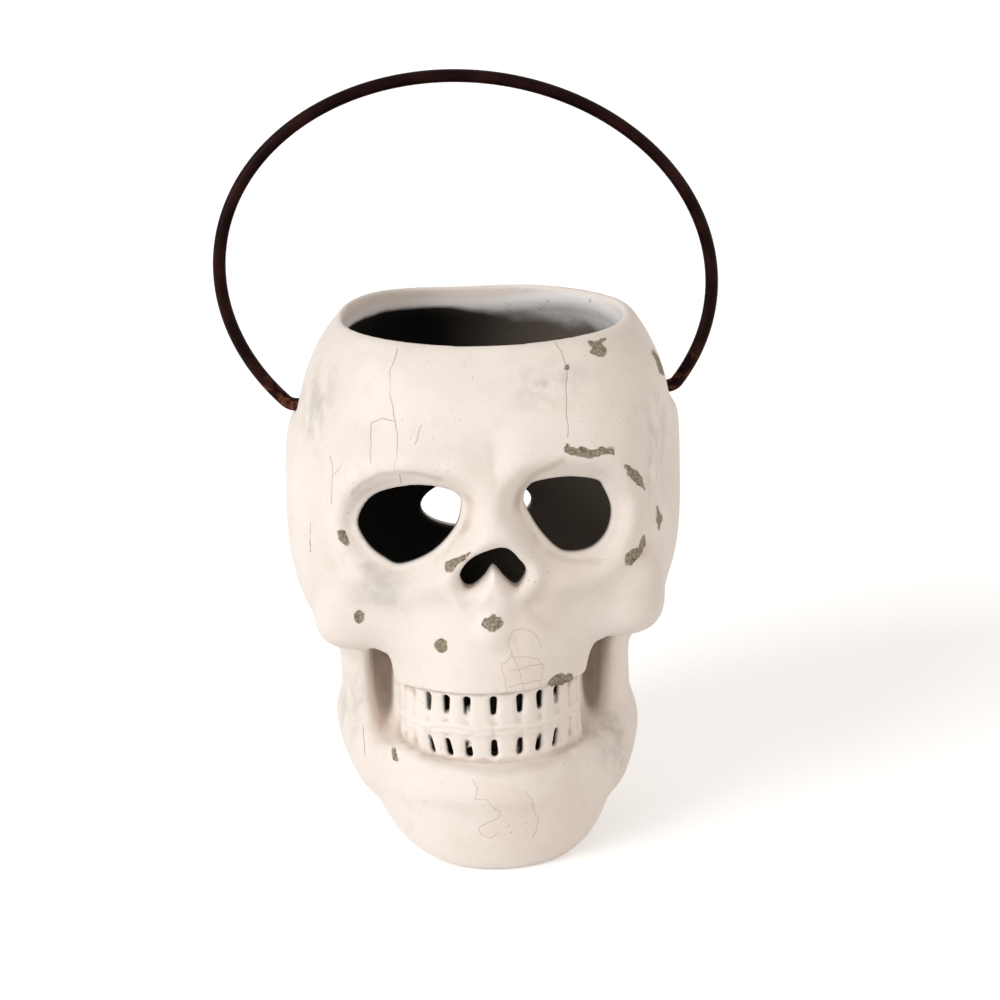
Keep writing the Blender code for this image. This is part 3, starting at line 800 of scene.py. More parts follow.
def bail_side(outer_face, inner_face):
    """Half of the bail's route from hook tip to crown, as sideways and upward distances."""
    foot = outer_face + BEND_REACH
    half_width = foot + BAIL_BULGE
    narrow = math.sqrt(1 - (foot / half_width) ** 2)
    rise = BAIL_RISE / (1 + narrow)
    middle = rise * narrow
    last_turn = math.pi - math.asin(foot / half_width)
    hook = inner_face - HOOK_CLEARANCE
    route = [(hook, HOOK_RISE)]
    route += corner((hook, WIRE_DIAMETER), (hook, 0), (hook + WIRE_DIAMETER, 0))
    first_turn = last_turn - BEND_REACH / half_width
    route += corner((outer_face, 0), (foot, 0), loop_point(first_turn, half_width, rise, middle))
    for step in range(1, FINE_LOOP_STEPS // 2 + 1):
        turn = first_turn * (1 - 2 * step / FINE_LOOP_STEPS)
        route.append(loop_point(turn, half_width, rise, middle))
    return route


def capsule(across, up, half_length, radius):
    """Distance in a plane to an upright stroke with round ends."""
    return np.hypot(across, np.maximum(np.abs(up) - half_length, 0)) - radius


def tooth_slots(at):
    """The slots between the teeth, narrow at the bite and wide at the gum."""
    x, y, z = at
    form = np.inf
    for number in range(-OPEN_SLOTS, OPEN_SLOTS + 1):
        (place_x, place_y), (out_x, out_y) = arch_point(gap_angle(number))
        across = (y - place_y) * out_x - (x - place_x) * out_y
        depth = (x - place_x) * out_x + (y - place_y) * out_y
        slots = (
            (UPPER_SLOT[0], UPPER_SLOT[1], across),
            (LOWER_SLOT[1], LOWER_SLOT[0], across + LOWER_SLOT_SLANT * number * (LOWER_SLOT[1] - z)),
        )
        for bite_end, gum_end, aside in slots:
            to_gum = np.clip((z - bite_end) / (gum_end - bite_end), 0, 1)
            radius = SLOT_TIP + (SLOT_WIDTH / 2 - SLOT_TIP) * to_gum**SLOT_FLARE
            half = (abs(gum_end - bite_end) - SLOT_WIDTH) / 2
            stroke = capsule(aside, z - (bite_end + gum_end) / 2, half, radius)
            form = np.minimum(form, np.maximum(stroke, -SLOT_REACH - depth))
    return form


def tooth_valleys(at):
    """Soft valleys between the teeth of each row, which end at the gums and at the bite."""
    form = np.inf
    rows = (
        (LOWER_SLOT[0] + VALLEY_RADIUS, BITE - BITE_BAND),
        (UPPER_SLOT[1] - VALLEY_RADIUS, BITE + BITE_BAND),
    )
    for number in range(-GROOVES_PER_SIDE, GROOVES_PER_SIDE + 1):
        (x, y), _ = arch_point(gap_angle(number), -VALLEY_OUTSET)
        for gum_end, bite_end in rows:
            form = np.minimum(form, bar(at, (x, y, gum_end), (x, y, bite_end), VALLEY_RADIUS, VALLEY_TIP))
    return form


def pivot_holes(at):
    x, y, z = at
    hole = np.hypot(y, z - PIVOT_HEIGHT) - WIRE_DIAMETER / 2 - PIVOT_CLEARANCE
    return np.maximum(hole, PIVOT_HOLE_START - np.abs(x))


def bite_ridges(at):
    """Height of the two thin ridges where the upper and lower teeth meet."""
    x, y, z = at
    level = BITE + BITE_WAVE * np.sin(x / BITE_WAVE_LENGTHS[0]) * np.cos(x / BITE_WAVE_LENGTHS[1])
    ridges = bump(z - level, BITE_RIDGE_GAP / 3, BITE_RIDGE_WIDTH)
    ridges = ridges + LOWER_RIDGE_SHARE * bump(z - level, -BITE_RIDGE_GAP * 2 / 3, BITE_RIDGE_WIDTH)
    near_teeth = np.clip(1 - np.abs(dental_plan(at)) / GUM_LIP, 0, 1)
    return BITE_RIDGE * ridges * near_teeth * np.clip((-FACE_DEPTH - y) / RIDGE_FADE, 0, 1)


def casting(at):
    """The whole casting with its fine relief."""
    x, y, z = at
    outlines = hole_outlines(x, z)
    form = fine_form(at, outlines) - bite_ridges(at)
    form = carve(form, hollow(at), HOLLOW_ROUNDING)
    form = carve(form, top_opening(at), RIM_ROUNDING)
    form = carve(form, above_rim(at), RIM_ROUNDING)
    for distance in outlines.values():
        form = carve(form, np.maximum(distance, y + FACE_DEPTH), HOLE_ROUNDING)
    form = carve(form, back_vent(at), HOLE_ROUNDING)
    form = carve(form, tooth_slots(at), SLOT_ROUNDING)
    form = carve(form, pivot_holes(at), SLOT_ROUNDING)
    return common(form, -z, BASE_ROUNDING)


def face_of(field, height):
    """How far out a form reaches at the sides, at a height and at the pivot's Y."""
    x = np.arange(0, 2 * CRANIUM_HALF_WIDTH, FINE_STEP)
    at = (x, np.zeros_like(x), np.full_like(x, height))
    return float(x[field(at) < 0].max())


def upright(at):
    """Places as X, Y and Z, with X measured from the leaning midline."""
    x, y, z = at
    return x - midline(z), y, z


def grid_points():
    """The lowest corner of a grid round the skull, and its points."""
    margin = 3 * MESH_GRID
    half_width = CRANIUM_HALF_WIDTH + margin + abs(LEAN) * CRANIUM_HEIGHT
    front = DENTAL_REACH - DENTAL_Y + GUM_LIP + margin
    rim_lift = RIM_FALL * CRANIUM_HALF_WIDTH + RIM_RISE * CRANIUM_HALF_LENGTH
    top = RIM_HEIGHT + margin + rim_lift
    lowest = np.array((-half_width, -front, -margin))
    highest = (half_width, CRANIUM_HALF_LENGTH + margin, top)
    axes = [np.arange(low, high, MESH_GRID, dtype=np.float32) for low, high in zip(lowest, highest)]
    return lowest, np.meshgrid(*axes, indexing="ij", sparse=True)


def casting_at(points):
    """The casting's field at places given as rows of X, Y and Z."""
    return casting(upright(points.T))


def shifts(step):
    """Three moves of one step, each along its own axis."""
    return np.eye(3) * step


def slope_at(points):
    """The field's slope, which points out of the casting."""
    rises = [casting_at(points + shift) - casting_at(points - shift) for shift in shifts(NORMAL_STEP)]
    return np.stack(rises, axis=1) / (2 * NORMAL_STEP)


def settle(points):
    """The points, moved onto the casting's surface."""
    for _ in range(SETTLE_STEPS):
        slope = slope_at(points)
        steepness = np.maximum((slope**2).sum(axis=1), LEAST_STEEPNESS)
        move = slope * (casting_at(points) / steepness)[:, None]
        length = np.linalg.norm(move, axis=1, keepdims=True)
        points = points - move * np.minimum(1, MESH_GRID / 2 / np.maximum(length, TINY * MESH_GRID))
    return points


def bend_at(points, step):
    """How the surface bends over this step: positive on edges and negative in hollows, in 1/m."""
    total = -6 * casting_at(points)
    for shift in shifts(step):
        total += casting_at(points + shift) + casting_at(points - shift)
    return total / step**2


def camera_axes():
    """The camera's right, up and forward directions."""
    turn, tilt, roll = (math.radians(a) for a in (CAMERA_AZIMUTH, CAMERA_ELEVATION, CAMERA_ROLL))
    back = Vector((math.sin(turn) * math.cos(tilt), -math.cos(turn) * math.cos(tilt), math.sin(tilt)))
    right = Vector((math.cos(turn), math.sin(turn), 0))
    up = back.cross(right)
    level_right = right * math.cos(roll) - up * math.sin(roll)
    level_up = right * math.sin(roll) + up * math.cos(roll)
    return level_right, level_up, -back


def camera_place():
    return Vector(CAMERA_TARGET) - camera_axes()[2] * CAMERA_DISTANCE


def photo_pixels(points):
    """Where the photograph shows these places, as rows of pixels across and down."""
    axes = np.array(camera_axes())
    across, up, away = axes @ (points - np.array(camera_place())).T
    middle = PHOTO_SIZE / 2
    return middle + FOCAL_PIXELS * across / away, middle - FOCAL_PIXELS * up / away


def nearest_outline(points, outlines):
    """Distance in pixels to the nearest of these outlines, negative inside it."""
    across, down = photo_pixels(points)
    return np.min([outline_distance(across, down, np.array(line)) for line in outlines.values()], axis=0)


def near_teeth(points):
    at = upright(points.T)
    band = np.abs(at[2] - (LOWER_GUM + UPPER_GUM) / 2) < TEETH_BAND_HALF
    return band & (at[1] < TEETH_FRONT_Y) & (dental_plan(at) > -TEETH_SKIN)


def near_chips(points):
    outer = -plain_form(upright(points.T)) / WALL < SKIN
    return outer & (points[:, 1] < 0) & (np.abs(nearest_outline(points, CHIPS)) < CHIP_RIM)


def near_rims(points):
    x, y, z = upright(points.T)
    nearest = np.min([np.abs(distance) for distance in hole_outlines(x, z).values()], axis=0)
    return (nearest < HOLE_RIM) & (y < -FACE_DEPTH)


def near_details(points):
    return near_teeth(points) | near_chips(points) | near_rims(points)


def sharply_bent(points):
    return np.abs(bend_at(points, BEND_STEP)) > SHARP_BEND


def settle_points(vertices):
    places = settle(np.array([vertex.co for vertex in vertices]))
    for vertex, place in zip(vertices, places):
        vertex.co = place


def refine(work, wanted):
    """Halves the edges of the faces whose middles the test picks, and settles the new points."""
    middles = np.array([face.calc_center_median() for face in work.faces])
    edges = {edge for face, pick in zip(work.faces, wanted(middles)) if pick for edge in face.edges}
    known = len(work.verts)
    bmesh.ops.subdivide_edges(work, edges=list(edges), cuts=1, use_grid_fill=True)
    work.verts.ensure_lookup_table()
    settle_points(work.verts[known:])


def skull_mesh():
    lowest, at = grid_points()
    grid = openvdb.FloatGrid()
    field = np.broadcast_to(casting(upright(at)), np.broadcast(*at).shape)
    grid.copyFromArray(np.ascontiguousarray(field, dtype=np.float32))
    points, triangles, quads = grid.convertToPolygons(0.0, 0.0)
    points = np.array(points, dtype=float) * MESH_GRID + lowest
    faces = [tuple(face) for face in triangles] + [tuple(face) for face in quads]
    mesh = bpy.data.meshes.new("skull_shell")
    mesh.from_pydata(points.tolist(), [], faces)
    work = bmesh.new()
    work.from_mesh(mesh)
    settle_points(work.verts)
    for wanted in (sharply_bent, near_details):
        refine(work, wanted)
    bmesh.ops.recalc_face_normals(work, faces=work.faces)
    work.to_mesh(mesh)
    work.free()
    mesh.shade_smooth()
    return mesh


def store(mesh, name, values, kind="FLOAT"):
    attribute = mesh.attributes.new(name, kind, "POINT")
    field = "value" if kind == "FLOAT" else "vector"
    attribute.data.foreach_set(field, np.ascontiguousarray(values, dtype=np.float32).ravel())


def mark_surface(mesh):
    """Stores on the mesh what the paint depends on, and shades it by the field's own slope."""
    points = np.empty(len(mesh.vertices) * 3)
    mesh.vertices.foreach_get("co", points)
    points = points.reshape(-1, 3)
    at = upright(points.T)
    slope = slope_at(points)
    slope /= np.maximum(np.linalg.norm(slope, axis=1, keepdims=True), TINY)
    mesh.normals_split_custom_set_from_vertices(slope.tolist())
    depth = -plain_form(at) / WALL
    toward_photo = ((np.array(camera_place()) - points) * slope).sum(axis=1) / CAMERA_DISTANCE
    shown = np.clip(toward_photo / FACING_SPAN, 0, 1) * np.clip((SKIN_DEPTH - depth) / SKIN_FADE, 0, 1)
    across, down = photo_pixels(points)
    store(mesh, "inside", depth)
    store(mesh, "below_rim", above_rim(at))
    store(mesh, "bend", bend_at(points, BEND_STEP))
    # Bends over a wider step, which place the painted shade in hollows
    store(mesh, "hollow_shade", bend_at(points, DIP_STEP))
    store(mesh, "recess_shade", cheek_recess(at))
    in_teeth = (at[2] > LOWER_GUM) & (at[2] < UPPER_GUM)
    store(mesh, "in_slot", np.where(in_teeth, -dental_plan(at), 0))
    store(mesh, "slot", tooth_slots(at))
    store(mesh, "shown", shown)
    store(mesh, "photo_at", np.stack((across, down, np.zeros_like(down)), axis=1), "FLOAT_VECTOR")
    store(mesh, "chip", nearest_outline(points, CHIPS))
    store(mesh, "flake", nearest_outline(points, FLAKES))


class Shading:
    """Short calls that build one material's nodes."""

    def __init__(self, name):
        self.material = bpy.data.materials.new(name)
        self.material.use_nodes = True
        self.tree = self.material.node_tree
        self.shader = self.tree.nodes["Principled BSDF"]
        self.point = self.add("ShaderNodeTexCoord").outputs["Object"]

    def add(self, kind, **settings):
        node = self.tree.nodes.new(kind)
        for name, value in settings.items():
            setattr(node, name, value)
        return node

    def feed(self, socket, value):
        if isinstance(value, bpy.types.NodeSocket):
            self.tree.links.new(value, socket)
        else:
            socket.default_value = value

    def math(self, operation, *values):
        node = self.add("ShaderNodeMath", operation=operation)
        for socket, value in zip(node.inputs, values):
            self.feed(socket, value)
        return node.outputs[0]

    def vector(self, operation, first, second=(0, 0, 0), output="Vector"):
        node = self.add("ShaderNodeVectorMath", operation=operation)
        self.feed(node.inputs[0], first)
        self.feed(node.inputs[1], second)
        return node.outputs[output]

    def scaled(self, vector, factor):
        node = self.add("ShaderNodeVectorMath", operation="SCALE")
        self.feed(node.inputs[0], vector)
        self.feed(node.inputs["Scale"], factor)
        return node.outputs[0]

    def step(self, value, low, high):
        """0 below low, 1 above high and smooth between them; low may be the larger."""
        node = self.add("ShaderNodeMapRange", interpolation_type="SMOOTHSTEP")
        self.feed(node.inputs["Value"], value)
        node.inputs["From Min"].default_value = min(low, high)
        node.inputs["From Max"].default_value = max(low, high)
        node.inputs["To Min"].default_value = 0.0 if low < high else 1.0
        node.inputs["To Max"].default_value = 1.0 if low < high else 0.0
        return node.outputs["Result"]

    def mix(self, share, first, second):
        node = self.add("ShaderNodeMix", data_type="RGBA")
        self.feed(node.inputs["Factor"], share)
        for socket, value in zip((node.inputs[6], node.inputs[7]), (first, second)):
            self.feed(socket, value if isinstance(value, bpy.types.NodeSocket) else (*value, 1))
        return node.outputs[2]

    def coat(self, name, colour, *shares):
        """The colour with one of the coats over it, where all the shares say."""
        strength, tint = COATS[name]
        return self.mix(self.times(*shares, strength), colour, tint)

    def edge(self, name, value):
        """0 to 1 across one of the named edges."""
        return self.step(value, *EDGES[name])

    def grain(self, name):
        """One of the named noises, from 0 to 1."""
        scale, detail, roughness = NOISES[name]
        node = self.add("ShaderNodeTexNoise")
        self.feed(node.inputs["Vector"], self.point)
        node.inputs["Scale"].default_value = scale
        node.inputs["Detail"].default_value = detail
        node.inputs["Roughness"].default_value = roughness
        return node.outputs["Fac"]

    def attribute(self, name, output="Fac"):
        return self.add("ShaderNodeAttribute", attribute_name=name).outputs[output]

    def centred(self, value):
        """A noise about 0 instead of a half."""
        return self.math("SUBTRACT", value, 0.5)

    def jitter(self, scale):
        """Noise in three directions, about 0."""
        node = self.add("ShaderNodeTexNoise")
        self.feed(node.inputs["Vector"], self.point)
        node.inputs["Scale"].default_value = scale
        return self.vector("SUBTRACT", node.outputs["Color"], (0.5, 0.5, 0.5))

    def times(self, *values):
        total = values[0]
        for value in values[1:]:
            total = self.math("MULTIPLY", total, value)
        return total

    def largest(self, *values):
        total = values[0]
        for value in values[1:]:
            total = self.math("MAXIMUM", total, value)
        return total

    def smallest(self, *values):
        total = values[0]
        for value in values[1:]:
            total = self.math("MINIMUM", total, value)
        return total

    def line_distance(self, point, start, end):
        """Distance from the point to a straight line between two places."""
        run = Vector((*end, 0)) - Vector((*start, 0))
        offset = self.vector("SUBTRACT", point, (*start, 0))
        share = self.vector("DOT_PRODUCT", offset, run / run.length_squared, output="Value")
        clamp = self.add("ShaderNodeClamp")
        self.feed(clamp.inputs["Value"], share)
        return self.vector("DISTANCE", offset, self.scaled(run, clamp.outputs[0]), output="Value")

    def spot_distance(self, point, middle, sizes, turn):
        """Distance from an oval's middle, 1 at its edge."""
        node = self.add("ShaderNodeMapping", vector_type="TEXTURE")
        self.feed(node.inputs["Vector"], point)
        node.inputs["Location"].default_value = (*middle, 0)
        node.inputs["Rotation"].default_value = (0, 0, math.radians(turn))
        node.inputs["Scale"].default_value = (*sizes, 1)
        return self.vector("LENGTH", node.outputs[0], output="Value")

    def wobbled(self, point, scale, size):
        """A point moved about by noise on the surface, so that lines through it waver."""
        return self.vector("ADD", point, self.vector("MULTIPLY", self.jitter(scale), (size, size, 0)))

    def bump(self, height, distance, strength=1.0, normal=None):
        node = self.add("ShaderNodeBump")
        self.feed(node.inputs["Height"], height)
        node.inputs["Distance"].default_value = distance
        node.inputs["Strength"].default_value = strength
        if normal:
            self.feed(node.inputs["Normal"], normal)
        return node.outputs[0]


def route_distance(paint, point, routes):
    """Distance in pixels to the nearest of several routes."""
    lines = []
    for route in routes.values():
        lines += [paint.line_distance(point, a, b) for a, b in zip(route, route[1:])]
    return paint.smallest(*lines)


def with_shade_lines(paint, point, colour):
    """The colour with soft brown lines of painted shade over it, and grime along the lower gum."""
    shown = paint.attribute("shown")
    for width, strength, route in PAINTED_SHADE_LINES.values():
        lines = [paint.line_distance(point, a, b) for a, b in zip(route, route[1:])]
        share = paint.step(paint.smallest(*lines), width * SHADE_LINE_SPREAD, 0.0)
        colour = paint.mix(paint.times(share, shown, strength), colour, PAINTED_SHADE_COLOUR)
    return colour


def stain_and_shade_share(paint, point):
    ovals = [paint.spot_distance(point, *stain_and_shade) for stain_and_shade in STAINS_AND_SHADE.values()]
    return paint.largest(*(paint.edge("stain_oval", oval) for oval in ovals))


def worn_back(paint, shown):
    """Chips and cracks where the photograph doesn't show the casting: 1 in a chip, and 1 on a crack."""
    outer = paint.edge("outer", paint.attribute("inside"))
    hidden = paint.times(paint.edge("hidden", shown), outer)
    shapes = paint.times(paint.grain("back_shapes"), BACK_SHAPE_SHARE)
    both = paint.math("ADD", paint.grain("back_places"), shapes)
    chipped = paint.times(hidden, paint.edge("back_chip", both))
    cells = paint.add("ShaderNodeTexVoronoi", feature="DISTANCE_TO_EDGE")
    moved = paint.scaled(paint.jitter(BACK_JITTER[0]), BACK_JITTER[1])
    paint.feed(cells.inputs["Vector"], paint.vector("ADD", paint.point, moved))
    cells.inputs["Scale"].default_value = BACK_CELLS
    lines = paint.edge("back_crack", cells.outputs["Distance"])
    kept = paint.edge("back_crack_area", paint.grain("back_cracks"))
    return chipped, paint.times(hidden, lines, kept)


def sound_paint(paint, seen):
    """Colour of the paint where it is whole: clouds, stains, painted shade in hollows, recesses and
    slots, paler edges.
    """
    broad = paint.grain("broad")
    cloudy = paint.grain("cloudy")
    colour = paint.mix(paint.edge("broad", broad), *PAINT_COLOURS)
    colour = paint.coat("cloud", colour, paint.edge("cloud", cloudy))
    mottled = paint.edge("mottle", paint.grain("mottled"))
    colour = paint.coat("mottle", colour, mottled, paint.edge("mottle_area", broad))

    shown = paint.attribute("shown")
    # Stains, and the painted shade below the left eye
    colour = paint.coat("stain_and_shade", colour, stain_and_shade_share(paint, seen), paint.edge("stain_and_shade", cloudy), shown)
    bend, hollow_shade = paint.attribute("bend"), paint.attribute("hollow_shade")
    # Painted shade in broad hollows and in sharp crevices
    colour = paint.coat("hollow_shade", colour, paint.edge("hollow_shade", hollow_shade), paint.edge("hollow_shade_cloud", cloudy))
    colour = paint.coat("crevice_shade", colour, paint.edge("crevice_shade", bend), paint.edge("crevice_shade_cloud", cloudy))
    # Painted shade in the cheek recesses
    colour = paint.coat("recess_shade", colour, paint.edge("recess_shade", paint.attribute("recess_shade")))
    # Painted shade down the slot walls by depth, and over the webs inside the slots
    slot = paint.attribute("slot")
    deep = paint.edge("slot_depth_shade", paint.attribute("in_slot"))
    wall = paint.smallest(paint.edge("slot", slot), deep)
    colour = paint.coat("slot", colour, paint.largest(wall, paint.edge("slot_web_shade", slot)))
    # Paler paint on sharp outward edges
    return paint.coat("pale_edge", colour, paint.edge("pale_edge", bend))


def cracked_paint(paint, seen, colour, back_cracks):
    """The colour with its flaked patches, their edges, the cracks and the specks."""
    shown = paint.attribute("shown")
    uneven = paint.times(paint.centred(paint.grain("flaky")), FLAKE_RAGGED)
    flake = paint.math("ADD", paint.attribute("flake"), uneven)
    colour = paint.coat("flake", colour, paint.edge("flake", flake), shown)
    edges = route_distance(paint, paint.wobbled(seen, *WOBBLES["flake_edge"]), FLAKE_EDGES)
    colour = paint.coat("flake_edge", colour, paint.edge("flake_edge", edges), shown)
    cracks = route_distance(paint, paint.wobbled(seen, *WOBBLES["crack"]), CRACKS)
    cracked = paint.largest(paint.times(paint.edge("crack", cracks), shown), back_cracks)
    patches = paint.grain("patches")
    colour = paint.coat("crack", colour, cracked, paint.edge("crack_area", patches))
    specks = paint.edge("speck", paint.grain("specks"))
    return paint.coat("speck", colour, specks, paint.edge("speck_area", patches))


def chipped_paint(paint, colour, grit, back_chips):
    """The colour with its chips, which show the bare casting, with painted shade along their edges, and
    the share of each place in a chip.
    """
    shown = paint.attribute("shown")
    ragged = paint.times(paint.centred(paint.grain("ragged")), CHIP_RAGGED)
    chip = paint.math("ADD", paint.attribute("chip"), ragged)
    facing = paint.edge("facing", paint.math("ADD", shown, paint.centred(grit)))
    chipped = paint.largest(paint.times(paint.edge("chip", chip), facing), back_chips)
    # Painted shade along each chip's outline
    colour = paint.coat("chip_edge_shade", colour, paint.edge("chip_edge_shade", chip), shown)
    return paint.mix(chipped, colour, paint.mix(paint.edge("bare", grit), *BARE_COLOURS)), chipped


def sooted_and_shaded_paint(paint, colour):
    """The colour with paint made paler inside the rim as painted light, and soot with painted shade below
    it, and the share that is soot and shade.
    """
    place = paint.add("ShaderNodeSeparateXYZ")
    paint.feed(place.inputs[0], paint.point)
    to_right = paint.edge("to_right", place.outputs["X"])
    edge_width = paint.math("ADD", paint.times(to_right, SOOT_SHADE_EDGE_GROWTH), SOOT_SHADE_EDGE)
    uneven = paint.times(paint.centred(paint.grain("soot_shade_edge")), edge_width)
    below = paint.math("ADD", paint.attribute("below_rim"), uneven)
    below = paint.math("DIVIDE", paint.math("SUBTRACT", below, SOOT_SHADE_START), edge_width)
    inner = paint.edge("inner", paint.attribute("inside"))
    # Soot and painted shade below the rim, near black at the left and smoky brown to the right
    soot_and_shade = paint.times(inner, paint.edge("soot", below))
    wander = paint.times(paint.centred(paint.grain("drift")), SOOT_SHADE_DRIFT)
    drift = paint.math("ADD", place.outputs["X"], wander)
    # Painted light: paler paint on the inner walls, so that they read as lit
    colour = paint.coat("inner", colour, inner)
    colour = paint.coat("scuff", colour, inner, paint.edge("scuff", paint.grain("scuffs")))
    return paint.mix(soot_and_shade, colour, paint.mix(paint.edge("soot_shade_across", drift), *SOOT_AND_SHADE_COLOURS)), soot_and_shade


def paint_material():
    """White paint over a coarse casting: cracked, chipped and stained, with painted shade and light, and
    soot inside that is partly painted shade.
    """
    paint = Shading("painted_casting")
    seen = paint.attribute("photo_at", "Vector")
    fine, grit = paint.grain("fine"), paint.grain("grit")
    back_chips, back_cracks = worn_back(paint, paint.attribute("shown"))
    # Lines of painted shade over the sound paint
    colour = with_shade_lines(paint, paint.wobbled(seen, *WOBBLES["shade_line"]), sound_paint(paint, seen))
    colour = cracked_paint(paint, seen, colour, back_cracks)
    colour, chipped = chipped_paint(paint, colour, grit, back_chips)
    colour, soot_and_shade = sooted_and_shaded_paint(paint, colour)

    paint.feed(paint.shader.inputs["Base Color"], colour)
    paint.shader.inputs["Specular IOR Level"].default_value = PAINT_SPECULAR
    rough = paint.math("ADD", PAINT_ROUGHNESS, paint.times(fine, PAINT_ROUGHNESS_GRAIN))
    rougher = paint.times(paint.largest(chipped, soot_and_shade), BARE_ROUGHNESS)
    paint.feed(paint.shader.inputs["Roughness"], paint.math("ADD", rough, rougher))
    normal = paint.bump(paint.grain("cloudy"), *BUMPS["lumps"])
    normal = paint.bump(fine, *BUMPS["fine"], normal)
    broken = paint.times(chipped, paint.math("SUBTRACT", grit, BROKEN_DEPTH))
    normal = paint.bump(broken, *BUMPS["broken"], normal)
    paint.feed(paint.shader.inputs["Normal"], normal)
    return paint.material


def wire_material():
    """Dark maroon paint on iron wire, rusting at the hooked ends."""
    wire = Shading("dark_wire")
    grain, patches = wire.grain("wire_grain"), wire.grain("wire_patches")
    colour = wire.mix(wire.edge("wire_patches", patches), *WIRE_COLOURS)
    height = wire.add("ShaderNodeSeparateXYZ")
    wire.feed(height.inputs[0], wire.point)
    rusting = wire.step(height.outputs["Z"], PIVOT_HEIGHT + RUST_TOP, PIVOT_HEIGHT + RUST_FULL)
    rust = wire.mix(wire.edge("rust_grain", grain), *RUST_COLOURS)
    rust_share = wire.times(rusting, wire.edge("rust", wire.grain("rust")))
    wire.feed(wire.shader.inputs["Base Color"], wire.mix(rust_share, colour, rust))
    wire.shader.inputs["Specular IOR Level"].default_value = WIRE_SPECULAR
    wire.shader.inputs["IOR"].default_value = WIRE_IOR
    rough = wire.math("ADD", WIRE_ROUGHNESS, wire.times(patches, WIRE_ROUGHNESS_GRAIN))
    rough = wire.math("ADD", rough, wire.times(rust_share, RUST_ROUGHNESS))
    wire.feed(wire.shader.inputs["Roughness"], rough)
    wire.feed(wire.shader.inputs["Normal"], wire.bump(grain, *BUMPS["wire"]))
    return wire.material


def add_object(name, data):
    thing = bpy.data.objects.new(name, data)
    bpy.context.scene.collection.objects.link(thing)
    return thing


def make_skull():
    mesh = skull_mesh()
    mark_surface(mesh)
    skull = add_object("skull_shell", mesh)
    mesh.materials.append(paint_material())
    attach(skull, "casting")
    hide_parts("skull")


def make_bail():
    """The wire handle as a smooth round tube along the same route as the solid's."""
    side = bail_side(face_of(plain_form, PIVOT_HEIGHT), face_of(hollow, PIVOT_HEIGHT))
    route = [(-across, up) for across, up in side] + [(across, up) for across, up in side[-2::-1]]
    curve = bpy.data.curves.new("bail_route", "CURVE")
    curve.dimensions = "3D"
    curve.bevel_depth = WIRE_DIAMETER / 2
    curve.bevel_resolution = WIRE_SIDES
    curve.use_fill_caps = True
    spline = curve.splines.new("POLY")
    spline.points.add(len(route) - 1)
    start = midline(PIVOT_HEIGHT)
    for point, (across, up) in zip(spline.points, route):
        point.co = (start + across + BAIL_LEAN * up, 0, PIVOT_HEIGHT + up, 1)
    guide = add_object("bail_route", curve)
    mesh = bpy.data.meshes.new_from_object(guide)
    bpy.data.objects.remove(guide)
    bail = add_object("bail_wire", mesh)
    close_seams(mesh)
    mesh.materials.clear()
    mesh.materials.append(wire_material())
    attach(bail, "handle")
    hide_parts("bail")


def close_seams(mesh):
    """Joins the points that lie on top of each other, and shades the faces smooth."""
    work = bmesh.new()
    work.from_mesh(mesh)
    bmesh.ops.remove_doubles(work, verts=work.verts, dist=NORMAL_STEP / 10)
    bmesh.ops.recalc_face_normals(work, faces=work.faces)
    work.to_mesh(mesh)
    work.free()
    mesh.shade_smooth()


def make_floor():
    """A pale floor that shows white, with the object's shadow on it."""
    mesh = bpy.data.meshes.new("floor")
    reach = FLOOR_REACH
    corners = [(-reach, -reach, 0), (reach, -reach, 0), (reach, reach, 0), (-reach, reach, 0)]
    mesh.from_pydata(corners, [], [(0, 1, 2, 3)])
    floor = add_object("floor", mesh)
    pale = Shading("floor")
    pale.shader.inputs["Base Color"].default_value = (FLOOR_SHADE, FLOOR_SHADE, FLOOR_SHADE, 1)
    pale.shader.inputs["Roughness"].default_value = FLOOR_ROUGHNESS
    pale.shader.inputs["Emission Color"].default_value = (1, 1, 1, 1)
    pale.feed(pale.shader.inputs["Emission Strength"], pale.times(seen_directly(pale), FLOOR_GLOW))
    mesh.materials.append(pale.material)


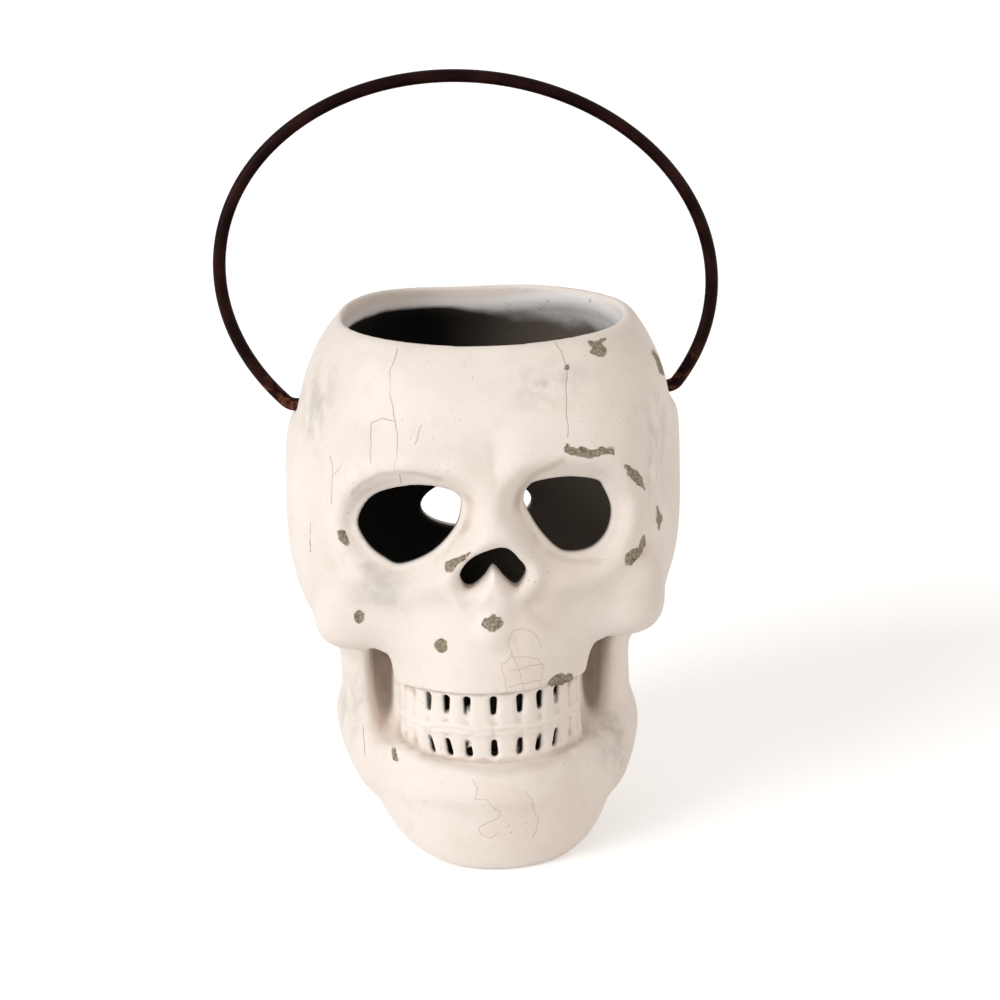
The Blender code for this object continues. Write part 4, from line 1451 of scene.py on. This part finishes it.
def seen_directly(shading):
    """1 for rays from the camera, also by way of gloss or glass, and 0 for the light on things."""
    rays = shading.add("ShaderNodeLightPath").outputs
    return shading.largest(rays["Is Camera Ray"], rays["Is Glossy Ray"], rays["Is Transmission Ray"])


def make_world():
    """Soft grey light all round, which shows as white behind the object."""
    world = bpy.data.worlds.new("studio")
    world.use_nodes = True
    bpy.context.scene.world = world
    nodes, links = world.node_tree.nodes, world.node_tree.links
    rays = nodes.new("ShaderNodeLightPath").outputs
    seen = rays["Is Camera Ray"]
    for name in ("Is Glossy Ray", "Is Transmission Ray"):
        either = nodes.new("ShaderNodeMath")
        either.operation = "MAXIMUM"
        links.new(seen, either.inputs[0])
        links.new(rays[name], either.inputs[1])
        seen = either.outputs[0]
    strength = nodes.new("ShaderNodeMapRange")
    links.new(seen, strength.inputs["Value"])
    strength.inputs["To Min"].default_value = WORLD_LIGHT
    strength.inputs["To Max"].default_value = 1.0
    tint = nodes.new("ShaderNodeMix")
    tint.data_type = "RGBA"
    links.new(seen, tint.inputs["Factor"])
    tint.inputs[6].default_value = (*WORLD_TINT, 1)
    tint.inputs[7].default_value = (1, 1, 1, 1)
    background = nodes["Background"]
    links.new(tint.outputs[2], background.inputs["Color"])
    links.new(strength.outputs["Result"], background.inputs["Strength"])


def make_suns():
    for name, (from_direction, strength, width, colour) in SUNS.items():
        sun = bpy.data.lights.new(name, "SUN")
        sun.energy = strength
        sun.angle = math.radians(width)
        sun.color = colour
        add_object(name, sun).rotation_euler = Vector(from_direction).to_track_quat("Z", "Y").to_euler()


def make_camera():
    camera = bpy.data.cameras.new("camera")
    camera.sensor_width = SENSOR_MM
    camera.lens = SENSOR_MM * FOCAL_PIXELS / PHOTO_SIZE
    thing = add_object("camera", camera)
    right, up, forward = camera_axes()
    turn = Matrix((right, up, -forward)).transposed().to_4x4()
    thing.matrix_world = Matrix.Translation(camera_place()) @ turn
    bpy.context.scene.camera = thing


def main():
    make_camera()
    make_skull()
    make_bail()
    make_floor()
    make_world()
    make_suns()
    bpy.context.scene.view_settings.view_transform = "Standard"


main()
